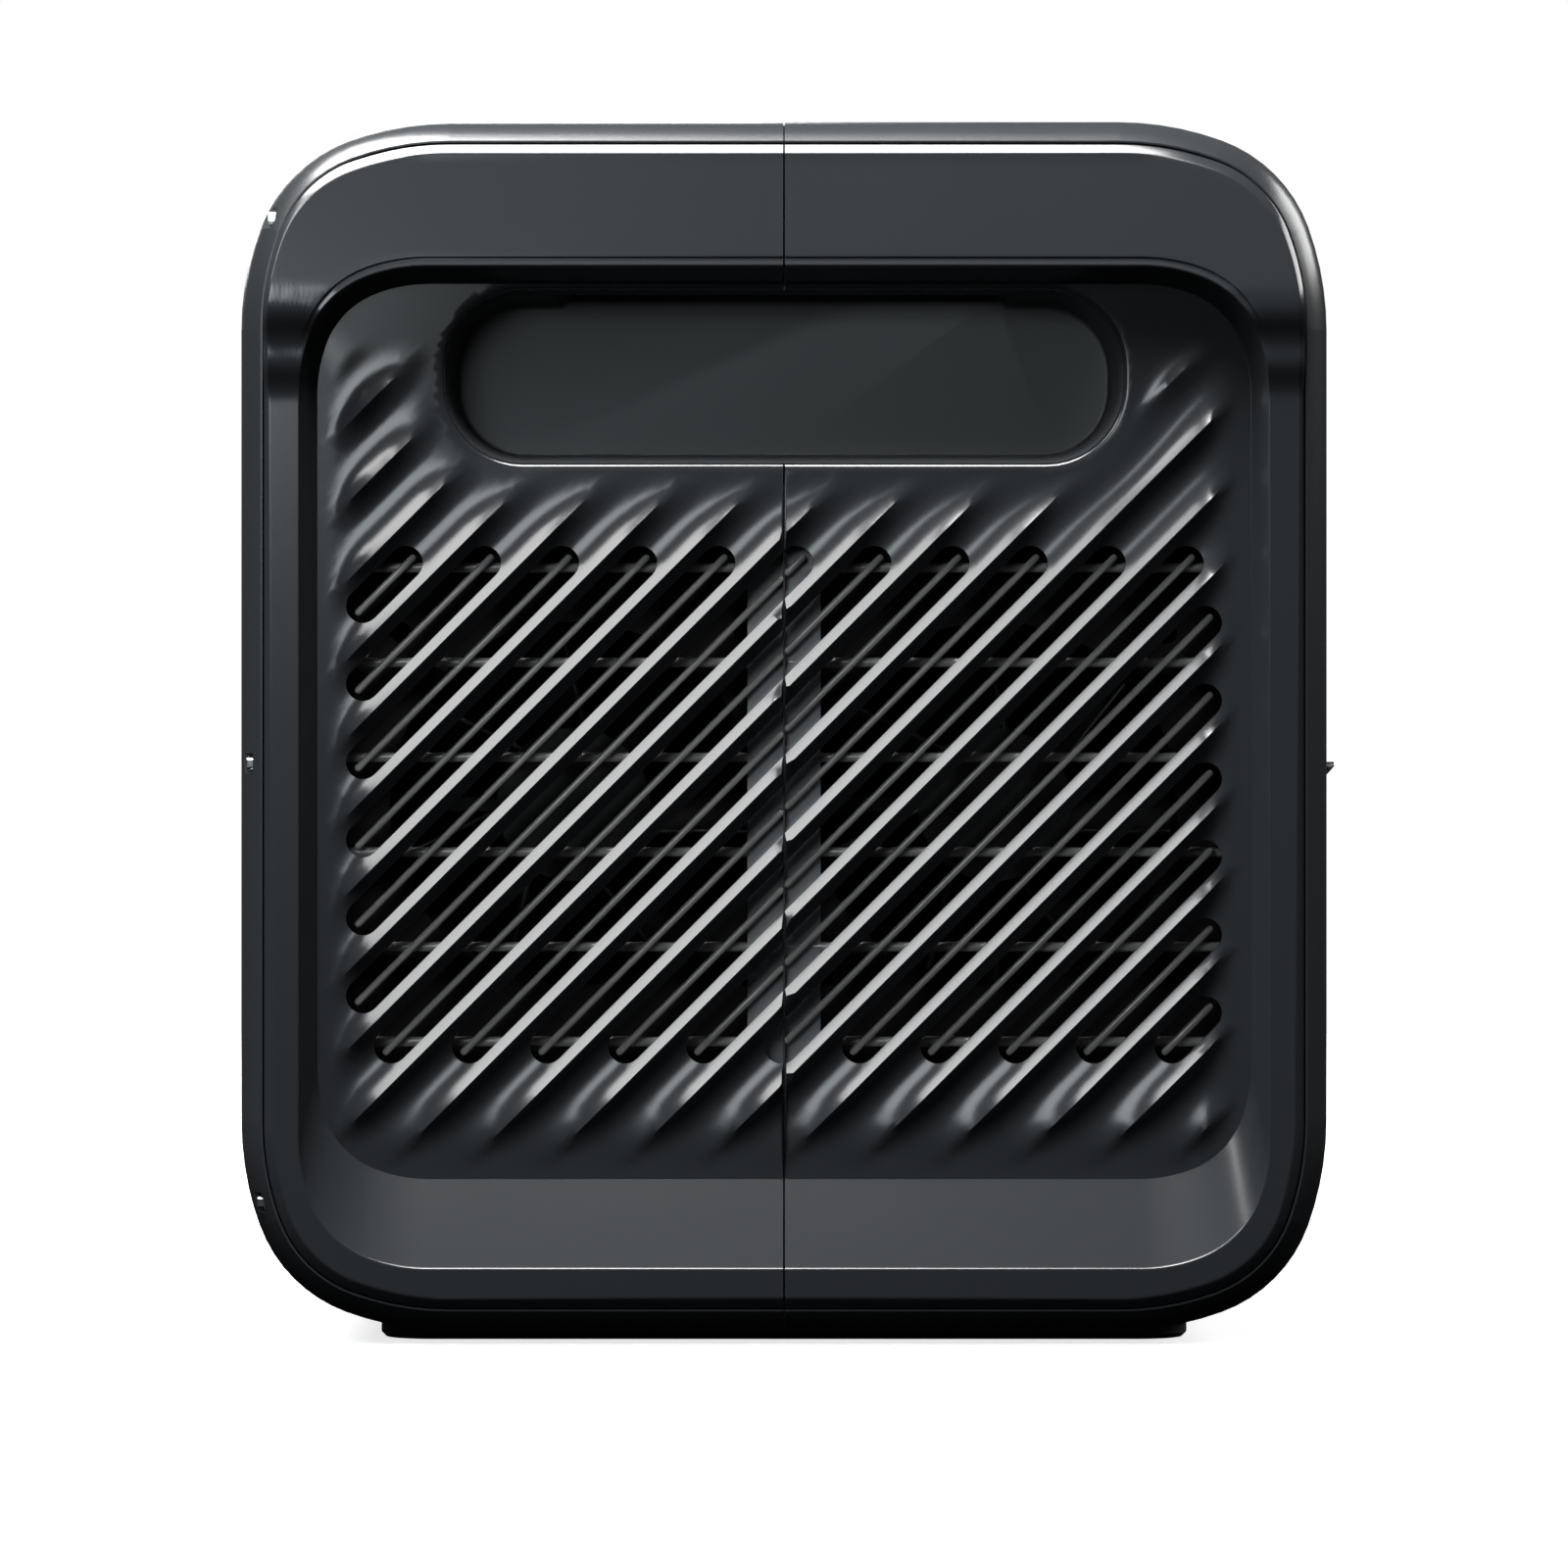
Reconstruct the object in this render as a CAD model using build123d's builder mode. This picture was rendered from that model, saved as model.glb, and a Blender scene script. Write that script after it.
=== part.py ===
"""Portable power station: a two-half housing with slotted end panels, carry grips, ports, fans and battery.

Frame: +Z up, X = 0 on the seam between the housing halves (front is +X), Y along the long side.
The origin is under the middle of the case, on the surface that it stands on. All sizes in mm.
"""

import os
from math import cos, radians, sin, sqrt

from build123d import *

os.makedirs("parts", exist_ok=True)

# ---------------------------------------------------------------- overall sizes
body_depth = 225.0  # across the seam, along X
body_height = 250.5
body_length = 372.0  # between the two rim planes, along Y
foot_stand = 2.5  # how far the feet hold the case off the ground
wall = 3.0
corner_tight = 30.1  # the corner runs gentle, tight, gentle
corner_gentle = 63.2
corner_lean = 20.0  # degrees of turn in each gentle stretch
seam_gap = 0.3
fit_gap = 0.3  # between parts that drop into each other

window_round = 6.0
clip_heights = (29.4, 120.0, 232.6)  # spring clips in the rim
clip_front, clip_back = 1.6, 4.6
clip_window_depth, clip_window_height = 3.2, 4.2
clip_length, clip_width, clip_height = 2.6, 1.2, 1.5
join = 0.1  # overlap where two solids are fused

# ---------------------------------------------------------------- case ends
rim_land = 5.0  # width of the rim that frames an end panel
rim_round = 12.0
rim_stop = 38.0  # degrees short of facing straight out, where the rounding ends at the rim plane
rim_depth = 14.0  # from the rim plane to the flange that the panel stands on
flange_thick = 3.0
panel_proud = 1.0
panel_wall = 2.5
panel_edge_round = 1.2
well_width, well_low, well_high = 199.6, 16.2, 222.0
well_tight, well_gentle = 20.8, 34.7
field_width, field_low, field_high = 193.2, 34.0, 219.3
field_tight, field_gentle = 17.6, 31.5
field_depth = 7.0  # from the rim plane to the slotted field
ledge_top, ledge_nose_height, ledge_foot = 245.0, 226.0, 195.5
ledge_reach = 5.0  # how far the carry ledge leans out of the panel face
slot_pitch = 16.16  # along X or Z; the slots run at 45 degrees
slot_width = 7.1
slot_phase = 1.0
slot_rows_each_side = 8
slot_field_width, slot_field_height, slot_field_centre = 174.3, 100.1, 111.5
ridge_height = 2.6
ridge_steep = 5.4  # the ridge's steep side, measured across the ridge
ridge_offset = 5.55  # from a slot's centre line to the next crest
ridges_width, ridges_low, ridges_high, ridges_round = 184.0, 38.0, 178.0, 14.0
boss_radius, boss_hole, boss_stop = 4.0, 1.7, 5.0

# ---------------------------------------------------------------- carry grip
grip_width, grip_height, grip_centre, grip_round = 140.8, 35.9, 200.1, 16.2
grip_depth = 18.0
grip_wall = 2.0
grip_draft = 6.0
pocket_width, pocket_rise = 93.0, 14.0
pocket_front = 10.5
grip_flange, grip_clear = 4.0, 1.0

# ---------------------------------------------------------------- finger guard
guard_width, guard_low, guard_high = 192.0, 52.0, 171.0
guard_setback = 0.2  # from the back of the field to the guard
guard_border, guard_round = 4.5, 3.0
rod_width, rod_depth = 1.2, 2.4
rod_short = 3.6  # a rod is this much shorter than its slot
bar_height, bar_depth = 2.0, 3.2
bar_rows, bar_pitch = 6, 19.7
flange_strip = 7.6  # backing strip on each side of the seam
flange_strip_thick = 1.5

# ---------------------------------------------------------------- fans
fan_size, fan_thick = 80.0, 25.0
fan_bore = 38.2
fan_spread, fan_centre = 44.0, 111.5
fan_hub_radius, fan_blades = 16.0, 7
fan_tip_gap = 1.0
fan_shaft_radius, fan_bearing_gap = 1.5, 0.05
fan_hole_pitch, fan_hole_radius = 71.5, 2.2
fan_corner, spider_arms, spider_width, spider_thick = 4.0, 4, 3.0, 2.5
fan_tube_radius, fan_tube_length, hub_wall = 3.5, 17.0, 2.0
blade_chord, blade_thickness, blade_pitch = 20.0, 1.4, 38.0
bracket_thick = 2.0
bracket_width, bracket_low, bracket_high = 206.0, 45.0, 177.0
window_width, window_low, window_high = 194.0, 50.0, 173.0

# ---------------------------------------------------------------- feet
foot_width, foot_breadth, foot_setback = 169.0, 24.0, 30.0
foot_corner, foot_chamfer = 11.0, 1.0
peg_inset, peg_radius, peg_head_gap = 30.0, 2.2, 0.1

# ---------------------------------------------------------------- front fascia
fascia_width, fascia_low, fascia_high = 320.0, 48.0, 210.0
fascia_round = 14.0
fascia_sunk = 1.0  # below the housing's front face
fascia_thick = 2.0
ledge_width, ledge_thick = 4.0, 2.0  # inner frame that a face plate lies on

door_y, door_width, door_low, door_high = -117.0, 66.0, 62.0, 121.0
door_gap = 0.5
door_thick = 1.8
door_lip_reach, door_lip_drop, lip_edge = 3.6, 6.0, 1.0
door_corner, ear_wall, tray_clear, plate_chamfer = 1.5, 0.6, 1.5, 0.4
pin_radius, knuckle_radius = 0.75, 1.6
pin_running = 0.05
ear_breadth = 2.2
tray_depth, tray_wall = 9.5, 2.0

screen_width, screen_height, screen_y, screen_z = 104.0, 38.0, 0.0, 182.0
screen_recess, screen_round, window_flange = 0.8, 4.0, 2.0
switch_gap, switch_size = 0.8, 7.0
button_travel = 0.8
button_gap = 0.25
button_proud = 0.6
button_flange = 1.0
power_button_y, power_button_z, power_button_radius = 76.0, 182.0, 8.0
pill_length, pill_height = 16.0, 8.0
dc_button_y, usb_button_y, ac_button_y, lamp_button_y = -117.0, 0.0, 110.0, -76.0
button_row_z, lamp_button_z = 151.0, 182.0
button_head, button_stem = 1.0, 2.0  # flange thickness and stem radius
lamp_width, lamp_height, lamp_y, lamp_z, lamp_round = 44.0, 12.0, -117.0, 182.0, 5.0
led_count, led_pitch, led_size, led_height = 6, 6.5, 3.0, 0.8
board_width, board_high = 290.0, 203.0
post_inset, post_radius = 8.0, 2.0
chip_pitch, chip_size, chip_height = 36.0, 14.0, 1.6

usb_z, usb_pitch = 120.0, 24.0
usb_a_width, usb_a_height, usb_c_width, usb_c_height = 14.0, 6.2, 9.4, 3.6
usb_shell, usb_length, usb_sunk, usb_tongue, usb_tongue_lift = 0.5, 13.0, 0.6, 1.6, 1.2
outlet_width, outlet_height, outlet_round = 40.0, 34.0, 6.0
outlet_y, outlet_z, outlet_pitch_y, outlet_pitch_z = 110.0, 94.0, 48.0, 42.0
outlet_depth, outlet_sunk = 20.0, 0.8
blade_length, blade_thick, blade_spread = 8.0, 2.0, 12.7
earth_radius, earth_drop = 2.6, 11.0
clip_across, clip_along, outlet_flange = 4.0, 11.0, 1.5
socket_radius, socket_wall, socket_length = 10.6, 1.6, 34.0
socket_y, socket_z = -128.0, 90.0
jack_radius, jack_bore, jack_pin = 5.0, 2.8, 1.05
jack_y, jack_z, jack_pitch, jack_length, socket_lip = -99.0, 90.0, 22.0, 16.0, 1.2

# ---------------------------------------------------------------- rear port plate
rear_width, rear_low, rear_high, rear_round = 150.0, 54.0, 130.0, 8.0
flap_y, flap_width, flap_low, flap_high = 18.0, 92.0, 66.0, 118.0
inlet_y, inlet_z, inlet_width, inlet_height = 38.0, 90.0, 27.0, 20.0
solar_y, solar_z, solar_width, solar_height = -6.0, 90.0, 17.0, 9.0
breaker_y, breaker_z, breaker_radius = -52.0, 92.0, 6.0
breaker_wall, breaker_length = 2.0, 14.0
inlet_length, inlet_rim, inlet_pin, inlet_pin_pitch, inlet_pin_lift = 18.0, 4.0, (2.0, 4.0), 7.0, 2.0
solar_bore = 1.9

# ---------------------------------------------------------------- inside
cell_x, cell_y, cell_z = 70.0, 27.0, 98.0
cell_gap = 1.0
cells_long = 8
tray_floor = 2.5
tray_rise = 14.0
tray_lift = 0.1  # clears the floor's rise towards the case's corners
terminal_radius, terminal_height = 4.0, 4.0
cover_thick = 3.0
bar_thick, terminal_inset = 1.2, 10.0
bms_width, bms_length, bms_lift = 48.0, 150.0, 5.0
board_thick = 1.6
deck_z, deck_thick, deck_width, deck_length = 124.0, 2.0, 168.0, 264.0
leg_size, leg_x, leg_y = 8.0, 60.0, 126.0
inverter_width, inverter_length, standoff = 156.0, 232.0, 6.0
sink_width, sink_height, sink_length, fin_count, fin_thick = 28.0, 40.0, 190.0, 6, 1.6
sink_x, sink_base = 60.0, 4.0
core_width, core_length, core_height, core_pitch, coil_swell = 44.0, 38.0, 34.0, 150.0, 3.0
capacitor_radius, capacitor_height = 9.0, 32.0
column_y, column_low, column_high, column_radius = 136.0, 30.0, 231.0, 5.0
screw_bore, screw_head_radius, screw_sink = 2.2, 3.8, 20.0
screw_radius, thread_bore, screw_reach, screw_head_height, hex_radius = 1.4, 1.5, 24.0, 2.4, 1.8

half_length = body_length / 2
half_depth = body_depth / 2
middle_height = foot_stand + body_height / 2
floor_height = foot_stand + wall
fan_face = rim_depth + flange_thick + bracket_thick
inner_face = half_depth - wall  # inside of the front wall
fascia_face = half_depth - fascia_sunk
fascia_back = fascia_face - fascia_thick


# ---------------------------------------------------------------- helpers
def keep(piece, name):
    """Labels a finished piece and writes it as one STEP file."""
    piece.label = name
    export_step(piece, f"parts/{name}.step")


def end_plane(depth):
    """Plane across the case at a depth below the left rim; its normal points out of the case."""
    return Plane(origin=(0, depth - half_length, 0), x_dir=(1, 0, 0), z_dir=(0, -1, 0))


def front_plane(x):
    """Plane along the case; its local x is Y, its local y is Z, and its normal points to the front."""
    return Plane(origin=(x, 0, 0), x_dir=(0, 1, 0), z_dir=(1, 0, 0))


lean_cos, lean_sin = cos(radians(corner_lean)), sin(radians(corner_lean))


def corner_reach(tight, gentle):
    """How far a three-arc corner reaches back along each side."""
    return gentle * (lean_sin + 1 - lean_cos) + tight * (lean_cos - lean_sin)


def soft_rectangle(width, height, tight, gentle):
    """Rectangle whose corners are three tangent arcs: gentle, tight, gentle."""
    reach = corner_reach(tight, gentle)
    w, h = width / 2, height / 2
    step = gentle - tight
    with BuildSketch() as outline:
        with BuildLine():
            Line((w, 0), (w, h - reach))
            CenterArc((w - gentle, h - reach), gentle, 0, corner_lean)
            centre = (w - gentle + step * lean_cos, h - reach + step * lean_sin)
            CenterArc(centre, tight, corner_lean, 90 - 2 * corner_lean)
            CenterArc((w - reach, h - gentle), gentle, 90 - corner_lean, corner_lean)
            Line((w - reach, h), (0, h))
            mirror(about=Plane.YZ)
            mirror(about=Plane.XZ)
        make_face()
    return outline.sketch


def body_outline(inset):
    """The case's cross-section, moved in from its skin."""
    return soft_rectangle(
        body_depth - 2 * inset, body_height - 2 * inset, corner_tight - inset, corner_gentle - inset
    )


def well_outline(grow):
    """The mouth of the well in an end panel."""
    height = well_high - well_low + 2 * grow
    return soft_rectangle(well_width + 2 * grow, height, well_tight + grow, well_gentle + grow)


def field_outline(grow):
    """The flat field at the bottom of the well."""
    height = field_high - field_low + 2 * grow
    return soft_rectangle(field_width + 2 * grow, height, field_tight + grow, field_gentle + grow)


def skin_x(z):
    """Half of the case's depth at a height, where a corner may have begun."""
    rise = abs(z - middle_height) - (body_height / 2 - corner_reach(corner_tight, corner_gentle))
    if rise <= 0:
        return half_depth
    turn = min(rise, corner_gentle * lean_sin)
    edge = half_depth - corner_gentle + sqrt(corner_gentle**2 - turn**2)
    step = corner_gentle - corner_tight
    beyond = rise - step * lean_sin
    if rise > corner_gentle * lean_sin:
        edge = half_depth - corner_gentle + step * lean_cos + sqrt(corner_tight**2 - beyond**2)
    return edge


def slot_lines():
    """Middle point and length of each slot's centre line, clipped to the slot field."""
    w, h = slot_field_width / 2, slot_field_height / 2
    lines = []
    for row in range(-slot_rows_each_side, slot_rows_each_side + 1):
        shift = row * slot_pitch + slot_phase  # x - z along this slot
        low = max(-w, shift - h)
        high = min(w, shift + h)
        centre = ((low + high) / 2, (low + high) / 2 - shift + slot_field_centre)
        lines.append((centre, (high - low) * sqrt(2)))
    return lines


def turned(piece):
    """The same piece at the other end or side: half a turn about the upright axis."""
    with BuildPart() as other:
        add(piece, rotation=(0, 0, 180))
    return other.part


def half_of(piece, side):
    """The part of a piece on one side of the seam, less half of the seam's gap."""
    with BuildPart() as half:
        add(piece)
        seam = Plane(origin=(side * seam_gap / 2, 0, 0), x_dir=(0, 1, 0), z_dir=(side, 0, 0))
        split(bisect_by=seam, keep=Keep.TOP)
    return half.part


# ---------------------------------------------------------------- housing halves
well_middle = (well_low + well_high) / 2
field_middle = (field_low + field_high) / 2
screw_places = [(y, z) for y in (-column_y, column_y) for z in (column_low, column_high)]
screw_places += [(0, column_high)]
boss_places = [(-84, 234), (84, 234), (-60, 21.5), (60, 21.5)]  # end panel screws, as (x, z)
foot_rows = 2 * (half_length - foot_setback)


def case_tube():
    """The whole case before it is parted at the seam: skin, rims, panel flanges and windows."""
    with BuildPart() as tube:
        with BuildSketch(Plane.XZ):
            with Locations((0, middle_height)):
                add(body_outline(0))
        uncut = half_length + rim_round * (1 - cos(radians(rim_stop)))
        extrude(amount=uncut, both=True)
        ends = tube.edges().filter_by_position(Axis.Y, -uncut, -uncut)
        ends += tube.edges().filter_by_position(Axis.Y, uncut, uncut)
        fillet(ends, radius=rim_round)
        for side in (-1, 1):
            cut_face = Plane(origin=(0, side * half_length, 0), z_dir=(0, side, 0))
            split(bisect_by=cut_face, keep=Keep.BOTTOM)
        with BuildSketch(Plane.XZ):
            with Locations((0, middle_height)):
                add(body_outline(wall))
        extrude(amount=half_length - rim_depth - flange_thick, both=True, mode=Mode.SUBTRACT)
        for side in (-1, 1):
            rim = Plane(origin=(0, side * half_length, 0), x_dir=(-side, 0, 0), z_dir=(0, side, 0))
            with BuildSketch(rim):
                with Locations((0, middle_height)):
                    add(body_outline(rim_land))
            extrude(amount=-rim_depth, mode=Mode.SUBTRACT)
            with BuildSketch(rim.offset(-rim_depth)):
                with Locations((0, (window_low + window_high) / 2)):
                    RectangleRounded(window_width, window_high - window_low, window_round)
                cup_top = grip_centre + grip_height / 2 + pocket_rise + 2 * grip_wall
                cup_low = window_high + flange_thick
                with Locations((0, (cup_low + cup_top) / 2)):
                    width = grip_width + 2 * grip_wall + 2 * grip_clear
                    RectangleRounded(width, cup_top - cup_low, window_round)
                with Locations(*boss_places):
                    Circle(boss_hole)
            extrude(amount=-flange_thick, mode=Mode.SUBTRACT)
        with BuildSketch(Plane.XY):
            with GridLocations(foot_width - 2 * peg_inset, foot_rows, 2, 2):
                Circle(peg_radius + pin_running)
        extrude(amount=floor_height + 1, mode=Mode.SUBTRACT)
    return tube.part


def plate_seat(low, high, width, corner):
    """Inner frame that a face plate lies on, as a ring on the inside of the front wall."""
    with BuildPart() as seat:
        with BuildSketch(front_plane(fascia_back - ledge_thick)):
            with Locations((0, (low + high) / 2)):
                outer = 2 * ledge_width
                RectangleRounded(width + outer, high - low + outer, corner + 2)
                inner = 2 * ledge_width
                RectangleRounded(
                    width - inner, high - low - inner, corner - ledge_width, mode=Mode.SUBTRACT
                )
        extrude(amount=ledge_thick)
    return seat.part


def columns(bore):
    """Screw columns across the case, clipped by its skin."""
    with BuildPart() as posts:
        with BuildSketch(front_plane(seam_gap / 2)):
            with Locations(*screw_places):
                Circle(column_radius)
        extrude(amount=half_depth)
        with BuildSketch(Plane.XZ):
            with Locations((0, middle_height)):
                add(body_outline(wall / 2))
        extrude(amount=half_length, both=True, mode=Mode.INTERSECT)
        with BuildSketch(front_plane(seam_gap / 2)):
            with Locations(*screw_places):
                Circle(bore)
        extrude(amount=screw_reach, mode=Mode.SUBTRACT)
    return posts.part


def clip_windows():
    """Slots through the rim's rounded edge for the spring clips, on the left end's rear side."""
    with BuildPart() as slots:
        for z in clip_heights:
            with BuildSketch(end_plane(clip_back)):
                with Locations((-skin_x(z), z)):
                    Rectangle(2 * clip_window_depth, clip_window_height)
            extrude(amount=clip_back - clip_front)
    return slots.part


tube = case_tube()
windows = clip_windows()

with BuildPart() as front_housing:
    add(half_of(tube, 1))
    with BuildSketch(front_plane(inner_face - 1)):
        with Locations((0, (fascia_low + fascia_high) / 2)):
            hole = 2 * fit_gap
            RectangleRounded(fascia_width + hole, fascia_high - fascia_low + hole, fascia_round)
    extrude(amount=wall + 2, mode=Mode.SUBTRACT)
    add(plate_seat(fascia_low, fascia_high, fascia_width, fascia_round))
    add(columns(thread_bore))
    add(windows, rotation=(0, 0, 180), mode=Mode.SUBTRACT)
keep(front_housing.part, "front_housing")

with BuildPart() as rear_housing:
    add(half_of(tube, -1))
    with BuildSketch(front_plane(-inner_face + 1)):
        with Locations((0, (rear_low + rear_high) / 2)):
            hole = 2 * fit_gap
            RectangleRounded(rear_width + hole, rear_high - rear_low + hole, rear_round)
    extrude(amount=-wall - 2, mode=Mode.SUBTRACT)
    add(plate_seat(rear_low, rear_high, rear_width, rear_round), rotation=(0, 0, 180))
    add(columns(screw_bore), rotation=(0, 0, 180))
    with BuildSketch(front_plane(-screw_sink)):
        with Locations(*[(-y, z) for y, z in screw_places]):
            Circle(screw_head_radius + 0.2)
    extrude(amount=-half_depth, mode=Mode.SUBTRACT)
    add(windows, mode=Mode.SUBTRACT)
keep(rear_housing.part, "rear_housing")

with BuildPart() as rim_clips:
    for z in clip_heights:
        floor_x = skin_x(z) - clip_window_depth
        for side in (-1, 1):
            pocket = Plane(
                origin=(side * floor_x, side * (half_length - (clip_front + clip_back) / 2), z),
                x_dir=(0, 0, 1),
                z_dir=(side, 0, 0),
            )
            with BuildSketch(pocket):
                SlotOverall(clip_length, clip_width)
            extrude(amount=clip_height)
keep(rim_clips.part, "rim_clips")

with BuildPart() as housing_screws:
    with BuildSketch(front_plane(-screw_sink)):
        with Locations(*screw_places):
            Circle(screw_radius)
    extrude(amount=screw_sink + screw_reach - 2)
    with BuildSketch(front_plane(-screw_sink)):
        with Locations(*screw_places):
            Circle(screw_head_radius)
    extrude(amount=-screw_head_height)
    with BuildSketch(front_plane(-screw_sink - screw_head_height)):
        with Locations(*screw_places):
            RegularPolygon(hex_radius, 6)
    extrude(amount=screw_head_height / 2, mode=Mode.SUBTRACT)
keep(housing_screws.part, "housing_screws")

with BuildPart() as left_foot:
    with BuildSketch(Plane.XY):
        with Locations((0, foot_setback - half_length)):
            RectangleRounded(foot_width, foot_breadth, foot_corner)
    extrude(amount=floor_height)
    under = left_foot.edges().filter_by_position(Axis.Z, 0, 0)
    chamfer(under, length=foot_chamfer)
    with BuildSketch(Plane.XZ):
        with Locations((0, middle_height)):
            add(body_outline(0))
    extrude(amount=half_length, both=True, mode=Mode.SUBTRACT)
    with BuildSketch(Plane.XY.offset(foot_stand / 2)):
        with Locations((0, foot_setback - half_length)):
            with GridLocations(foot_width - 2 * peg_inset, 0, 2, 1):
                Circle(peg_radius)
    extrude(amount=floor_height - foot_stand / 2 + peg_head_gap)
    with BuildSketch(Plane.XY.offset(floor_height + peg_head_gap)):
        with Locations((0, foot_setback - half_length)):
            with GridLocations(foot_width - 2 * peg_inset, 0, 2, 1):
                Circle(peg_radius + 1)
    extrude(amount=2, taper=20)
keep(left_foot.part, "left_foot")
keep(turned(left_foot.part), "right_foot")

# ---------------------------------------------------------------- end panels
panel_inset = rim_land + fit_gap
panel_face = -panel_proud


def well_cut():
    """The hollow in front of the slotted field, open to the outside."""
    with BuildPart() as well:
        with BuildSketch(end_plane(panel_face)):
            with Locations((0, well_middle)):
                add(well_outline(0))
        with BuildSketch(end_plane(field_depth)):
            with Locations((0, field_middle)):
                add(field_outline(0))
        loft()
        with BuildSketch(end_plane(panel_face)):
            with Locations((0, well_middle)):
                add(well_outline(0))
        extrude(amount=2 * ledge_reach)
    return well.part


def panel_cavity():
    """The hollow behind an end panel's moulded wall, with its screw bosses left standing."""
    with BuildPart() as cavity:
        with BuildSketch(end_plane(rim_depth)):
            with Locations((0, middle_height)):
                add(body_outline(panel_inset + panel_wall))
            with Locations(*boss_places):
                Circle(boss_radius, mode=Mode.SUBTRACT)
        extrude(amount=rim_depth - panel_face - panel_wall)
        with BuildPart(mode=Mode.PRIVATE) as core:
            with BuildSketch(end_plane(panel_face + panel_wall)):
                with Locations((0, well_middle)):
                    add(well_outline(panel_wall))
            with BuildSketch(end_plane(field_depth + panel_wall)):
                with Locations((0, field_middle)):
                    add(field_outline(panel_wall))
            loft()
        add(core.part, mode=Mode.SUBTRACT)
    return cavity.part


def carry_ledge():
    """The ledge over the grip: it leans out towards its lower edge and falls back down each side."""
    face_y = panel_face - half_length
    nose_y = face_y - ledge_reach
    with BuildPart() as ledge:
        with BuildSketch(Plane.YZ):
            with BuildLine():
                nose = (nose_y, ledge_nose_height)
                side_start = (nose_y, ledge_nose_height - 2 * ledge_reach)
                Line((face_y + 1, ledge_top), (face_y, ledge_top))
                Line((face_y, ledge_top), nose)
                Line(nose, side_start)
                Spline(side_start, (face_y, ledge_foot), tangents=((0, -1), (0, -1)))
                Line((face_y, ledge_foot), (face_y + 1, ledge_foot))
                Line((face_y + 1, ledge_foot), (face_y + 1, ledge_top))
            make_face()
        extrude(amount=half_depth, both=True)
        with BuildSketch(end_plane(0)):
            with Locations((0, middle_height)):
                add(body_outline(panel_inset + panel_edge_round))
        extrude(amount=4 * ledge_reach, both=True, mode=Mode.INTERSECT)
    return ledge.part


def ridges():
    """Saw-tooth ridges between the slots, clipped to the field's ridged region."""
    across = slot_pitch / sqrt(2)
    along_slots = Plane(
        origin=(slot_phase, field_depth - half_length, slot_field_centre),
        x_dir=(1, 0, -1),
        z_dir=(1, 0, 1),
    )
    with BuildPart() as waves:
        with BuildSketch(along_slots):
            for row in range(-slot_rows_each_side - 3, slot_rows_each_side + 2):
                crest = row * across + ridge_offset
                with BuildLine():
                    Polyline(
                        (crest - across + ridge_steep, 0.1),
                        (crest, -ridge_height),
                        (crest + ridge_steep, 0.1),
                        close=True,
                    )
                make_face()
        extrude(amount=body_height, both=True)
        with BuildSketch(end_plane(field_depth)):
            with Locations((0, (ridges_low + ridges_high) / 2)):
                RectangleRounded(ridges_width, ridges_high - ridges_low, ridges_round)
        extrude(amount=2 * ridge_height, both=True, mode=Mode.INTERSECT)
    return waves.part


def end_panel():
    """A whole left end panel, before it is parted at the seam."""
    with BuildPart() as panel:
        with BuildSketch(end_plane(rim_depth)):
            with Locations((0, middle_height)):
                add(body_outline(panel_inset))
        extrude(amount=rim_depth - panel_face)
        face = panel.edges().filter_by_position(
            Axis.Y, panel_face - half_length, panel_face - half_length
        )
        fillet(face, radius=panel_edge_round)
        add(carry_ledge())
        add(panel_cavity(), mode=Mode.SUBTRACT)
        add(well_cut(), mode=Mode.SUBTRACT)
        add(ridges())
        with BuildSketch(end_plane(field_depth + panel_wall)):
            for centre, length in slot_lines():
                with Locations(centre):
                    SlotCenterToCenter(length, slot_width, rotation=45)
            with Locations((0, grip_centre)):
                RectangleRounded(grip_width, grip_height, grip_round)
        extrude(amount=panel_wall + 2 * ridge_height, mode=Mode.SUBTRACT)
        with BuildSketch(end_plane(rim_depth)):
            with Locations(*boss_places):
                Circle(thread_bore)
        extrude(amount=rim_depth - boss_stop, mode=Mode.SUBTRACT)
    return panel.part


whole_panel = end_panel()
left_panel_front = half_of(whole_panel, 1)
left_panel_rear = half_of(whole_panel, -1)
keep(left_panel_front, "left_end_panel_front")
keep(left_panel_rear, "left_end_panel_rear")
keep(turned(left_panel_rear), "right_end_panel_front")
keep(turned(left_panel_front), "right_end_panel_rear")

with BuildPart() as left_panel_screws:
    seat = rim_depth + flange_thick
    with BuildSketch(end_plane(seat)):
        with Locations(*boss_places):
            Circle(thread_bore - pin_running)
    extrude(amount=seat - boss_stop - 1)
    with BuildSketch(end_plane(seat)):
        with Locations(*boss_places):
            Circle(boss_radius - 1)
    extrude(amount=-screw_head_height)
with BuildPart() as panel_screws:
    add(left_panel_screws.part)
    add(left_panel_screws.part, rotation=(0, 0, 180))
keep(panel_screws.part, "panel_screws")

# ---------------------------------------------------------------- carry grips
grip_mouth = field_depth + panel_wall
grip_floor = field_depth + grip_depth

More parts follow.
